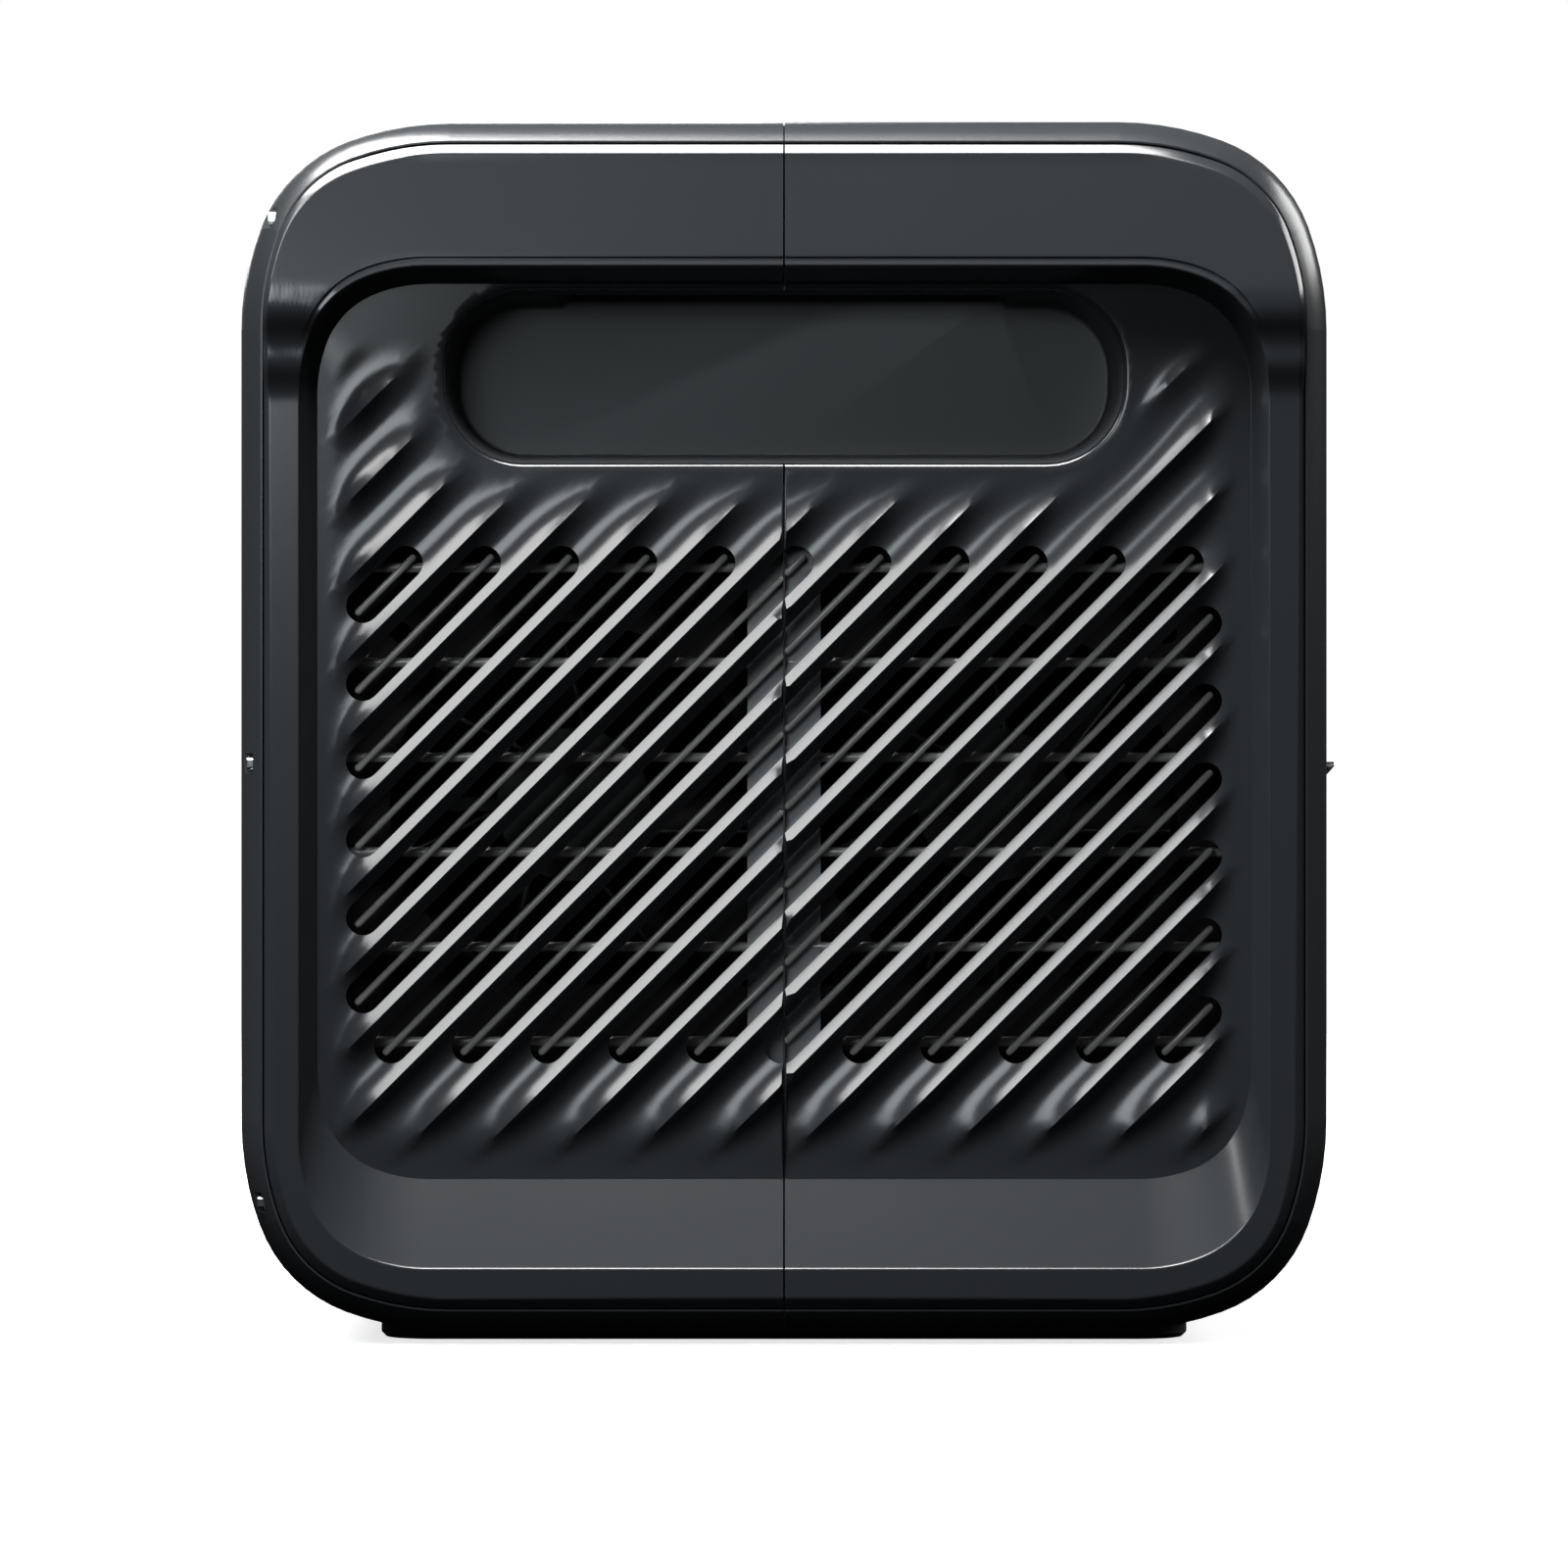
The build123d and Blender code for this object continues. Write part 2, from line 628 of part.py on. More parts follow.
with BuildPart() as left_grip_tray:
    with BuildSketch(end_plane(grip_mouth)):
        with Locations((0, grip_centre)):
            flange = 2 * grip_flange
            RectangleRounded(
                grip_width + flange, grip_height + flange, grip_round + grip_flange
            )
    extrude(amount=-grip_wall)
    with BuildSketch(end_plane(grip_mouth)):
        with Locations((0, grip_centre)):
            rim = 2 * grip_wall
            RectangleRounded(grip_width + rim, grip_height + rim, grip_round + grip_wall)
    extrude(amount=grip_mouth - grip_floor - grip_wall, taper=grip_draft)
    pocket_low = grip_centre
    pocket_top = grip_centre + grip_height / 2 + pocket_rise
    with BuildSketch(end_plane(pocket_front)):
        with Locations((0, (pocket_low + pocket_top + grip_wall) / 2)):
            Rectangle(pocket_width + 2 * grip_wall, pocket_top - pocket_low + grip_wall)
    extrude(amount=pocket_front - grip_floor - grip_wall)
    with BuildSketch(end_plane(grip_mouth)):
        with Locations((0, grip_centre)):
            RectangleRounded(grip_width, grip_height, grip_round)
    extrude(amount=grip_mouth - grip_floor, taper=grip_draft, mode=Mode.SUBTRACT)
    with BuildSketch(end_plane(pocket_front + grip_wall)):
        with Locations((0, (pocket_low + pocket_top) / 2)):
            Rectangle(pocket_width, pocket_top - pocket_low)
    extrude(amount=pocket_front + grip_wall - grip_floor, mode=Mode.SUBTRACT)
keep(left_grip_tray.part, "left_grip_tray")
keep(turned(left_grip_tray.part), "right_grip_tray")

# ---------------------------------------------------------------- fan guards
guard_front = field_depth + panel_wall + guard_setback
guard_back = rim_depth + flange_thick
guard_middle = (guard_low + guard_high) / 2


def fan_guard():
    """Border, slanted finger rods, level bars behind them, and a backing strip along the seam."""
    with BuildPart() as guard:
        with BuildSketch(end_plane(guard_back)):
            with Locations((0, guard_middle)):
                height = guard_high - guard_low
                RectangleRounded(guard_width, height, guard_round)
                border = 2 * guard_border
                Rectangle(guard_width - border, height - border, mode=Mode.SUBTRACT)
        extrude(amount=guard_back - guard_front)
        rod_back = guard_front + rod_depth
        with BuildSketch(end_plane(rod_back + join)):
            for centre, length in slot_lines():
                with Locations(centre):
                    SlotCenterToCenter(length - rod_short, rod_width, rotation=45)
        extrude(amount=rod_depth + join)
        with BuildSketch(end_plane(rod_back + bar_depth)):
            with Locations((0, slot_field_centre)):
                with GridLocations(0, bar_pitch, 1, bar_rows):
                    Rectangle(guard_width - guard_border, bar_height)
        extrude(amount=bar_depth)
        with BuildSketch(end_plane(rod_back + flange_strip_thick)):
            with Locations((0, guard_middle)):
                Rectangle(2 * flange_strip, guard_high - guard_low - guard_border)
        extrude(amount=flange_strip_thick)
    return guard.part


whole_guard = fan_guard()
left_guard_front = half_of(whole_guard, 1)
left_guard_rear = half_of(whole_guard, -1)
keep(left_guard_front, "left_fan_guard_front")
keep(left_guard_rear, "left_fan_guard_rear")
keep(turned(left_guard_rear), "right_fan_guard_front")
keep(turned(left_guard_front), "right_fan_guard_rear")

# ---------------------------------------------------------------- fans
with BuildPart() as left_fan_bracket:
    with BuildSketch(end_plane(fan_face)):
        with Locations((0, (bracket_low + bracket_high) / 2)):
            RectangleRounded(bracket_width, bracket_high - bracket_low, guard_round)
        with Locations((0, fan_centre)):
            with GridLocations(2 * fan_spread, 0, 2, 1):
                Circle(fan_bore, mode=Mode.SUBTRACT)
                with GridLocations(fan_hole_pitch, fan_hole_pitch, 2, 2):
                    Circle(fan_hole_radius, mode=Mode.SUBTRACT)
    extrude(amount=bracket_thick)
with BuildPart() as fan_brackets:
    add(left_fan_bracket.part)
    add(left_fan_bracket.part, rotation=(0, 0, 180))
keep(fan_brackets.part, "fan_brackets")


def fan_frame(x):
    """A square fan frame with its motor spider on the inner side, centred at x."""
    back = fan_face + fan_thick
    with BuildPart() as frame:
        with BuildSketch(end_plane(back)):
            with Locations((x, fan_centre)):
                RectangleRounded(fan_size, fan_size, fan_corner)
                Circle(fan_bore, mode=Mode.SUBTRACT)
                with GridLocations(fan_hole_pitch, fan_hole_pitch, 2, 2):
                    Circle(fan_hole_radius, mode=Mode.SUBTRACT)
        extrude(amount=fan_thick)
        with BuildSketch(end_plane(back)):
            with Locations((x, fan_centre)):
                Circle(fan_hub_radius)
                with PolarLocations(fan_bore / 2 + fan_hub_radius / 2, spider_arms):
                    Rectangle(fan_bore - fan_hub_radius + 2, spider_width)
        extrude(amount=spider_thick)
        with BuildSketch(end_plane(back)):
            with Locations((x, fan_centre)):
                Circle(fan_tube_radius)
        extrude(amount=fan_tube_length)
        with BuildSketch(end_plane(back)):
            with Locations((x, fan_centre)):
                Circle(fan_shaft_radius + fan_bearing_gap)
        extrude(amount=fan_thick, mode=Mode.SUBTRACT)
    return frame.part


def fan_rotor(x):
    """Hub cup, shaft and pitched blades, centred at x."""
    hub_front = fan_face + 2
    hub_back = fan_face + fan_thick - spider_thick - 1
    with BuildPart() as rotor:
        for index in range(fan_blades):
            angle = index * 360 / fan_blades
            out = (cos(radians(angle)), 0, sin(radians(angle)))
            root = fan_hub_radius - 2
            middle = (hub_front + hub_back) / 2 - half_length
            blade_plane = Plane(
                origin=(x + root * out[0], middle, fan_centre + root * out[2]),
                x_dir=(0, 1, 0),
                z_dir=out,
            )
            with BuildSketch(blade_plane):
                SlotOverall(blade_chord, blade_thickness, rotation=blade_pitch)
            extrude(amount=fan_bore)
        with BuildSketch(end_plane(hub_back)):
            with Locations((x, fan_centre)):
                Circle(fan_bore - fan_tip_gap)
        extrude(amount=hub_back - hub_front, mode=Mode.INTERSECT)
        with BuildSketch(end_plane(hub_back)):
            with Locations((x, fan_centre)):
                Circle(fan_hub_radius)
        extrude(amount=hub_back - hub_front)
        with BuildSketch(end_plane(hub_back)):
            with Locations((x, fan_centre)):
                Circle(fan_hub_radius - hub_wall)
        extrude(amount=hub_back - hub_front - hub_wall, mode=Mode.SUBTRACT)
        with BuildSketch(end_plane(fan_face + fan_thick - 1)):
            with Locations((x, fan_centre)):
                Circle(fan_shaft_radius)
        extrude(amount=fan_thick - hub_wall - 1)
    return rotor.part


with BuildPart() as left_fan_frames:
    add(fan_frame(fan_spread))
    add(fan_frame(-fan_spread))
front_fan_rotor = fan_rotor(fan_spread)
rear_fan_rotor = fan_rotor(-fan_spread)
keep(left_fan_frames.part, "left_fan_frames")
keep(turned(left_fan_frames.part), "right_fan_frames")
keep(front_fan_rotor, "left_front_fan_rotor")
keep(rear_fan_rotor, "left_rear_fan_rotor")
keep(turned(rear_fan_rotor), "right_front_fan_rotor")
keep(turned(front_fan_rotor), "right_rear_fan_rotor")

# ---------------------------------------------------------------- face plates, trays and doors
pin_x = fascia_face - knuckle_radius  # hinge axis of a door in a face plate


def hinge_z(low):
    """Height of a door's hinge axis above the lower edge of its opening."""
    return low + door_gap + knuckle_radius


def door_ears(y, width, low):
    """Ears beside a door's opening that hold its hinge pins, without their holes."""
    ear_x = pin_x - knuckle_radius - ear_wall
    with BuildPart() as ears:
        with BuildSketch(front_plane(ear_x)):
            with Locations((y, hinge_z(low))):
                with GridLocations(width + ear_breadth, 0, 2, 1):
                    Rectangle(ear_breadth, 2 * (knuckle_radius + ear_wall))
        extrude(amount=fascia_back - ear_x + join)
    return ears.part


def pin_bore(y, width, low):
    """The hole for a door's hinge pins, through both ears."""
    length = width / 2 + ear_breadth
    with BuildPart() as bore:
        with BuildSketch(Plane(origin=(pin_x, y, hinge_z(low)), z_dir=(0, 1, 0))):
            Circle(pin_radius + pin_running)
        extrude(amount=length, both=True)
    return bore.part


def face_door(y, width, low, high):
    """A door that tips down about pins at its lower edge, with a thumb lip along its top."""
    inner_width = width - 2 * door_gap
    axis_z = hinge_z(low)
    top = high - door_gap
    with BuildPart() as door:
        with BuildSketch(Plane(origin=(0, y, 0), x_dir=(1, 0, 0), z_dir=(0, -1, 0))):
            with Locations((pin_x, axis_z)):
                Circle(knuckle_radius)
            with BuildLine():
                Polyline(
                    (fascia_face - door_thick, axis_z),
                    (fascia_face, axis_z),
                    (fascia_face, top - door_lip_drop),
                    (half_depth + door_lip_reach, top - lip_edge),
                    (half_depth + door_lip_reach, top),
                    (fascia_face - door_thick, top),
                    close=True,
                )
            make_face()
        extrude(amount=inner_width / 2, both=True)
        sides = door.edges().filter_by(Axis.X).group_by(Axis.Z)[-1]
        fillet(sides, radius=door_corner)
        with BuildSketch(Plane(origin=(pin_x, y, axis_z), z_dir=(0, 1, 0))):
            Circle(pin_radius)
        extrude(amount=width / 2 + ear_breadth - door_gap, both=True)
    return door.part


def port_tray(y, width, low, high, holes):
    """A shallow tray behind a door; its floor has round or square holes for the ports."""
    outer_width = width + 2 * (ear_breadth + door_gap + tray_wall)
    outer_height = high - low + 2 * (tray_clear + tray_wall)
    middle = (low + high) / 2
    with BuildPart() as tray:
        with BuildSketch(front_plane(fascia_back - tray_depth - tray_wall)):
            with Locations((y, middle)):
                RectangleRounded(outer_width, outer_height, door_corner + tray_wall)
        extrude(amount=tray_depth + tray_wall)
        with BuildSketch(front_plane(fascia_back - tray_depth)):
            with Locations((y, middle)):
                shrink = 2 * tray_wall
                RectangleRounded(outer_width - shrink, outer_height - shrink, door_corner)
        extrude(amount=tray_depth, mode=Mode.SUBTRACT)
        with BuildSketch(front_plane(fascia_back - tray_depth - tray_wall)):
            add(holes)
        extrude(amount=tray_wall, mode=Mode.SUBTRACT)
    return tray.part


def pill_places():
    """Middles of the pill-shaped buttons, as (y, z)."""
    row = [(y, button_row_z) for y in (dc_button_y, usb_button_y, ac_button_y)]
    return row + [(lamp_button_y, lamp_button_z)]


def usb_places():
    """Middles of the USB ports, as (y, z): two wide ones, then two small ones."""
    return [(usb_pitch * (index - 1.5), usb_z) for index in range(4)]


outlet_places = [
    (outlet_y + side * outlet_pitch_y / 2, outlet_z + row * outlet_pitch_z / 2)
    for side in (-1, 1)
    for row in (-1, 1)
]
board_x = fascia_back - button_head - button_travel - switch_gap  # front of the control board
window_back = fascia_back - button_head  # back of the flanges on window, lens and outlets
board_low = button_row_z - pill_height
usb_board_x = fascia_face - usb_length
usb_post_y = usb_pitch * 2
usb_post_z = usb_a_height

with BuildPart() as front_fascia:
    with BuildSketch(front_plane(fascia_back)):
        with Locations((0, (fascia_low + fascia_high) / 2)):
            RectangleRounded(fascia_width, fascia_high - fascia_low, fascia_round - fit_gap)
        with Locations((door_y, (door_low + door_high) / 2)):
            Rectangle(door_width, door_high - door_low, mode=Mode.SUBTRACT)
        with Locations((screen_y, screen_z)):
            hole = 2 * fit_gap
            RectangleRounded(
                screen_width + hole, screen_height + hole, screen_round, mode=Mode.SUBTRACT
            )
        with Locations((lamp_y, lamp_z)):
            RectangleRounded(
                lamp_width + hole, lamp_height + hole, lamp_round, mode=Mode.SUBTRACT
            )
        with Locations((power_button_y, power_button_z)):
            Circle(power_button_radius + button_gap, mode=Mode.SUBTRACT)
        with Locations(*pill_places()):
            SlotOverall(
                pill_length + 2 * button_gap, pill_height + 2 * button_gap, mode=Mode.SUBTRACT
            )
        with Locations(*usb_places()[:2]):
            RectangleRounded(
                usb_a_width + hole, usb_a_height + hole, usb_shell, mode=Mode.SUBTRACT
            )
        with Locations(*usb_places()[2:]):
            SlotOverall(usb_c_width + hole, usb_c_height + hole, mode=Mode.SUBTRACT)
        with Locations(*outlet_places):
            RectangleRounded(
                outlet_width + hole, outlet_height + hole, outlet_round, mode=Mode.SUBTRACT
            )
    extrude(amount=fascia_thick)
    front_loop = front_fascia.faces().sort_by(Axis.X)[-1].outer_wire().edges()
    chamfer(front_loop, length=plate_chamfer)
    add(door_ears(door_y, door_width, door_low))
    with BuildSketch(front_plane(board_x)):
        with Locations((0, (board_low + board_high) / 2)):
            with GridLocations(board_width - post_inset, board_high - board_low - post_inset, 2, 2):
                Circle(post_radius)
    extrude(amount=fascia_back - board_x + join)
    with BuildSketch(front_plane(usb_board_x)):
        with Locations((0, usb_z)):
            with GridLocations(2 * usb_post_y, 2 * usb_post_z, 2, 2):
                Circle(post_radius)
    extrude(amount=fascia_back - usb_board_x + join)
    add(pin_bore(door_y, door_width, door_low), mode=Mode.SUBTRACT)
keep(front_fascia.part, "front_fascia")

keep(face_door(door_y, door_width, door_low, door_high), "front_port_door")

with BuildSketch() as front_port_holes:
    with Locations((socket_y, socket_z)):
        Circle(socket_radius + socket_wall + pin_running)
    with Locations((jack_y, jack_z)):
        with GridLocations(0, jack_pitch, 1, 2):
            Circle(jack_radius + pin_running)
keep(
    port_tray(door_y, door_width, door_low, door_high, front_port_holes.sketch), "front_port_tray"
)

tray_floor_x = fascia_back - tray_depth
with BuildPart() as car_socket:
    with BuildSketch(front_plane(tray_floor_x + socket_lip)):
        with Locations((socket_y, socket_z)):
            Circle(socket_radius + socket_wall)
    extrude(amount=-socket_length)
    with BuildSketch(front_plane(tray_floor_x)):
        with Locations((socket_y, socket_z)):
            Circle(socket_radius + socket_wall + socket_lip)
    extrude(amount=socket_lip)
    with BuildSketch(front_plane(tray_floor_x + socket_lip)):
        with Locations((socket_y, socket_z)):
            Circle(socket_radius)
    extrude(amount=-(socket_length - socket_wall), mode=Mode.SUBTRACT)
keep(car_socket.part, "car_socket")

with BuildPart() as dc_jacks:
    with BuildSketch(front_plane(tray_floor_x + socket_lip / 2)):
        with Locations((jack_y, jack_z)):
            with GridLocations(0, jack_pitch, 1, 2):
                Circle(jack_radius)
    extrude(amount=-jack_length)
    with BuildSketch(front_plane(tray_floor_x)):
        with Locations((jack_y, jack_z)):
            with GridLocations(0, jack_pitch, 1, 2):
                Circle(jack_radius + socket_lip)
    extrude(amount=socket_lip / 2)
    with BuildSketch(front_plane(tray_floor_x + socket_lip / 2)):
        with Locations((jack_y, jack_z)):
            with GridLocations(0, jack_pitch, 1, 2):
                Circle(jack_bore)
                Circle(jack_pin, mode=Mode.SUBTRACT)
    extrude(amount=-(jack_length - socket_wall), mode=Mode.SUBTRACT)
keep(dc_jacks.part, "dc_jacks")

# ---------------------------------------------------------------- screen, lamp and buttons
with BuildPart() as screen_window:
    with BuildSketch(front_plane(window_back)):
        with Locations((screen_y, screen_z)):
            border = 2 * window_flange
            RectangleRounded(screen_width + border, screen_height + border, screen_round + 2)
    extrude(amount=button_head)
    with BuildSketch(front_plane(fascia_back)):
        with Locations((screen_y, screen_z)):
            RectangleRounded(screen_width, screen_height, screen_round)
    extrude(amount=fascia_thick - screen_recess)
keep(screen_window.part, "screen_window")

with BuildPart() as display_module:
    with BuildSketch(front_plane(board_x)):
        with Locations((screen_y, screen_z)):
            Rectangle(screen_width - window_flange, screen_height - window_flange)
    extrude(amount=window_back - board_x)
keep(display_module.part, "display_module")

with BuildPart() as lamp_lens:
    with BuildSketch(front_plane(window_back)):
        with Locations((lamp_y, lamp_z)):
            border = 2 * window_flange
            RectangleRounded(lamp_width + border, lamp_height + border, lamp_round + 2)
    extrude(amount=button_head)
    with BuildSketch(front_plane(fascia_back)):
        with Locations((lamp_y, lamp_z)):
            RectangleRounded(lamp_width, lamp_height, lamp_round)
    extrude(amount=fascia_thick)
    front = lamp_lens.faces().sort_by(Axis.X)[-1].edges()
    chamfer(front, length=plate_chamfer)
keep(lamp_lens.part, "lamp_lens")

with BuildPart() as lamp_leds:
    with BuildSketch(front_plane(board_x)):
        with Locations((lamp_y, lamp_z)):
            with GridLocations(led_pitch, 0, led_count, 1):
                Rectangle(led_size, led_size)
    extrude(amount=led_height)
keep(lamp_leds.part, "lamp_leds")


def button(cap, y, z):
    """A push button: its cap through the fascia, a flange behind it and a stem to its switch."""
    with BuildPart() as body:
        with BuildSketch(front_plane(window_back)):
            with Locations((y, z)):
                add(cap)
                offset(amount=button_flange)
        extrude(amount=button_head - pin_running)
        with BuildSketch(front_plane(window_back)):
            with Locations((y, z)):
                add(cap)
        extrude(amount=button_head + fascia_thick + button_proud)
        top = body.faces().sort_by(Axis.X)[-1].edges()
        chamfer(top, length=plate_chamfer)
        with BuildSketch(front_plane(board_x + button_travel + switch_gap / 2)):
            with Locations((y, z)):
                Circle(button_stem)
        extrude(until=Until.NEXT)
    return body.part


with BuildSketch() as round_cap:
    Circle(power_button_radius)
with BuildSketch() as pill_cap:
    SlotOverall(pill_length, pill_height)
keep(button(round_cap.sketch, power_button_y, power_button_z), "power_button")
for name, (y, z) in zip(("dc_button", "usb_button", "ac_button", "lamp_button"), pill_places()):
    keep(button(pill_cap.sketch, y, z), name)

with BuildPart() as control_board:
    with BuildSketch(front_plane(board_x - board_thick)):
        with Locations((0, (board_low + board_high) / 2)):
            Rectangle(board_width, board_high - board_low)
    extrude(amount=board_thick)
    with BuildSketch(front_plane(board_x - board_thick)):
        with Locations(*pill_places(), (power_button_y, power_button_z)):
            Rectangle(switch_size, switch_size)
    extrude(amount=board_thick + switch_gap / 4)
    with BuildSketch(front_plane(board_x - board_thick)):
        with Locations((screen_y, screen_z)):
            with GridLocations(chip_pitch, 0, 3, 1):
                Rectangle(chip_size, chip_size)
    extrude(amount=-chip_height)
keep(control_board.part, "control_board")

# ---------------------------------------------------------------- sockets in the front
with BuildPart() as usb_ports:
    with BuildSketch(front_plane(usb_board_x)):
        with Locations(*usb_places()[:2]):
            Rectangle(usb_a_width, usb_a_height)
            shell = 2 * usb_shell
            Rectangle(usb_a_width - shell, usb_a_height - shell, mode=Mode.SUBTRACT)
        with Locations(*usb_places()[2:]):
            SlotOverall(usb_c_width, usb_c_height)
            SlotOverall(usb_c_width - shell, usb_c_height - shell, mode=Mode.SUBTRACT)
    extrude(amount=usb_length - usb_sunk)
    with BuildSketch(front_plane(usb_board_x)):
        with Locations(*usb_places()[:2]):
            Rectangle(usb_a_width, usb_a_height)
        with Locations(*usb_places()[2:]):
            SlotOverall(usb_c_width, usb_c_height)
    extrude(amount=usb_shell)
    with BuildSketch(front_plane(usb_board_x)):
        with Locations(*[(y, z + usb_tongue_lift) for y, z in usb_places()[:2]]):
            Rectangle(usb_a_width - 3 * shell, usb_tongue)
        with Locations(*usb_places()[2:]):
            Rectangle(usb_c_width - 3 * shell, usb_shell)
    extrude(amount=usb_length - 2 * usb_sunk)
keep(usb_ports.part, "usb_ports")

with BuildPart() as usb_board:
    with BuildSketch(front_plane(usb_board_x)):
        with Locations((0, usb_z)):
            Rectangle(2 * usb_post_y + post_inset, 2 * usb_post_z + post_inset)
    extrude(amount=-board_thick)
keep(usb_board.part, "usb_board")

with BuildPart() as ac_outlets:
    outlet_face = fascia_face - outlet_sunk
    with BuildSketch(front_plane(outlet_face - outlet_depth)):
        with Locations(*outlet_places):
            RectangleRounded(outlet_width, outlet_height, outlet_round)
    extrude(amount=outlet_depth)
    with BuildSketch(front_plane(window_back)):
        with Locations(*outlet_places):
            border = 2 * outlet_flange
            RectangleRounded(outlet_width + border, outlet_height + border, outlet_round)
    extrude(amount=button_head)
    with BuildSketch(front_plane(outlet_face)):
        with Locations(*outlet_places):
            with GridLocations(blade_spread, 0, 2, 1):
                Rectangle(blade_thick, blade_length)
        with Locations(*[(y, z - earth_drop) for y, z in outlet_places]):
            Circle(earth_radius)
    extrude(amount=-outlet_depth, mode=Mode.SUBTRACT)
    with BuildSketch(front_plane(outlet_face - outlet_depth)):
        with Locations(*outlet_places):
            with GridLocations(blade_spread, 0, 2, 1):
                Rectangle(clip_across, clip_along)
    extrude(amount=outlet_depth / 2, mode=Mode.SUBTRACT)
keep(ac_outlets.part, "ac_outlets")

with BuildPart() as outlet_contacts:
    with BuildSketch(front_plane(outlet_face - outlet_depth)):
        with Locations(*outlet_places):
            with GridLocations(blade_spread, 0, 2, 1):
                trim = 2 * pin_running
                Rectangle(clip_across - trim, clip_along - trim)
                Rectangle(blade_thick, blade_length, mode=Mode.SUBTRACT)
    extrude(amount=outlet_depth / 2 - pin_running)
keep(outlet_contacts.part, "outlet_contacts")

# ---------------------------------------------------------------- rear port plate
# The rear parts are modelled facing the front, with y reversed, and then given half a turn.
with BuildPart() as rear_plate:
    with BuildSketch(front_plane(fascia_back)):
        with Locations((0, (rear_low + rear_high) / 2)):
            RectangleRounded(rear_width, rear_high - rear_low, rear_round - fit_gap)
        with Locations((-flap_y, (flap_low + flap_high) / 2)):
            Rectangle(flap_width, flap_high - flap_low, mode=Mode.SUBTRACT)
        with Locations((-breaker_y, breaker_z)):
            Circle(breaker_radius + button_gap, mode=Mode.SUBTRACT)
    extrude(amount=fascia_thick)
    front_loop = rear_plate.faces().sort_by(Axis.X)[-1].outer_wire().edges()
    chamfer(front_loop, length=plate_chamfer)
    add(door_ears(-flap_y, flap_width, flap_low))
    add(pin_bore(-flap_y, flap_width, flap_low), mode=Mode.SUBTRACT)
keep(turned(rear_plate.part), "rear_port_plate")
keep(turned(face_door(-flap_y, flap_width, flap_low, flap_high)), "rear_port_door")

with BuildSketch() as rear_port_holes:
    with Locations((-inlet_y, inlet_z)):
        Rectangle(inlet_width + 2 * pin_running, inlet_height + 2 * pin_running)
    with Locations((-solar_y, solar_z)):
        Rectangle(solar_width + 2 * pin_running, solar_height + 2 * pin_running)
keep(
    turned(port_tray(-flap_y, flap_width, flap_low, flap_high, rear_port_holes.sketch)),
    "rear_port_tray",
)

with BuildPart() as ac_inlet:
    with BuildSketch(front_plane(tray_floor_x + socket_lip)):
        with Locations((-inlet_y, inlet_z)):
            Rectangle(inlet_width, inlet_height)
    extrude(amount=-inlet_length)
    with BuildSketch(front_plane(tray_floor_x)):
        with Locations((-inlet_y, inlet_z)):
            RectangleRounded(inlet_width + 2 * socket_lip, inlet_height + 2 * socket_lip, 1)
    extrude(amount=socket_lip)
    with BuildSketch(front_plane(tray_floor_x + socket_lip)):
        with Locations((-inlet_y, inlet_z)):
            RectangleRounded(inlet_width - inlet_rim, inlet_height - inlet_rim, 2)
            with Locations((0, inlet_pin_lift)):
                with GridLocations(2 * inlet_pin_pitch, 0, 2, 1):
                    Rectangle(*inlet_pin, mode=Mode.SUBTRACT)
            with Locations((0, 2 * -inlet_pin_lift)):
                Rectangle(*inlet_pin, mode=Mode.SUBTRACT)
    extrude(amount=-(inlet_length - inlet_rim), mode=Mode.SUBTRACT)
keep(turned(ac_inlet.part), "ac_inlet")

with BuildPart() as solar_inlet:
    with BuildSketch(front_plane(tray_floor_x + socket_lip)):
        with Locations((-solar_y, solar_z)):
            Rectangle(solar_width, solar_height)
    extrude(amount=-inlet_length)
    with BuildSketch(front_plane(tray_floor_x)):
        with Locations((-solar_y, solar_z)):
            Rectangle(solar_width + 2 * socket_lip, solar_height + 2 * socket_lip)
    extrude(amount=socket_lip)
    with BuildSketch(front_plane(tray_floor_x + socket_lip)):
        with Locations((-solar_y, solar_z)):
            with GridLocations(solar_height - 1, 0, 2, 1):
                Circle(solar_bore)
    extrude(amount=-(inlet_length - inlet_rim), mode=Mode.SUBTRACT)
keep(turned(solar_inlet.part), "solar_inlet")

with BuildPart() as breaker_body:
    with BuildSketch(front_plane(fascia_back)):
        with Locations((-breaker_y, breaker_z)):
            Circle(breaker_radius + breaker_wall)
            Circle(breaker_radius + button_gap, mode=Mode.SUBTRACT)
    extrude(amount=-breaker_length)
    with BuildSketch(front_plane(fascia_back - breaker_length)):
        with Locations((-breaker_y, breaker_z)):
            Circle(breaker_radius + breaker_wall)
    extrude(amount=-breaker_wall)
keep(turned(breaker_body.part), "breaker_body")

with BuildPart() as breaker_button:
    with BuildSketch(front_plane(fascia_back - breaker_length + button_gap)):
        with Locations((-breaker_y, breaker_z)):
            Circle(breaker_radius)
    extrude(amount=breaker_length + fascia_thick)
    chamfer(breaker_button.faces().sort_by(Axis.X)[-1].edges(), length=plate_chamfer)
keep(turned(breaker_button.part), "breaker_button")

# ---------------------------------------------------------------- battery
cells_width = 2 * cell_x + cell_gap
cells_length = cells_long * (cell_y + cell_gap) - cell_gap
cell_bottom = floor_height + tray_lift + tray_floor
cell_top = cell_bottom + cell_z
cell_step = cell_y + cell_gap
terminal_x = cell_x / 2 - terminal_inset  # from a cell's middle to its terminals
cell_column = (cell_x + cell_gap) / 2

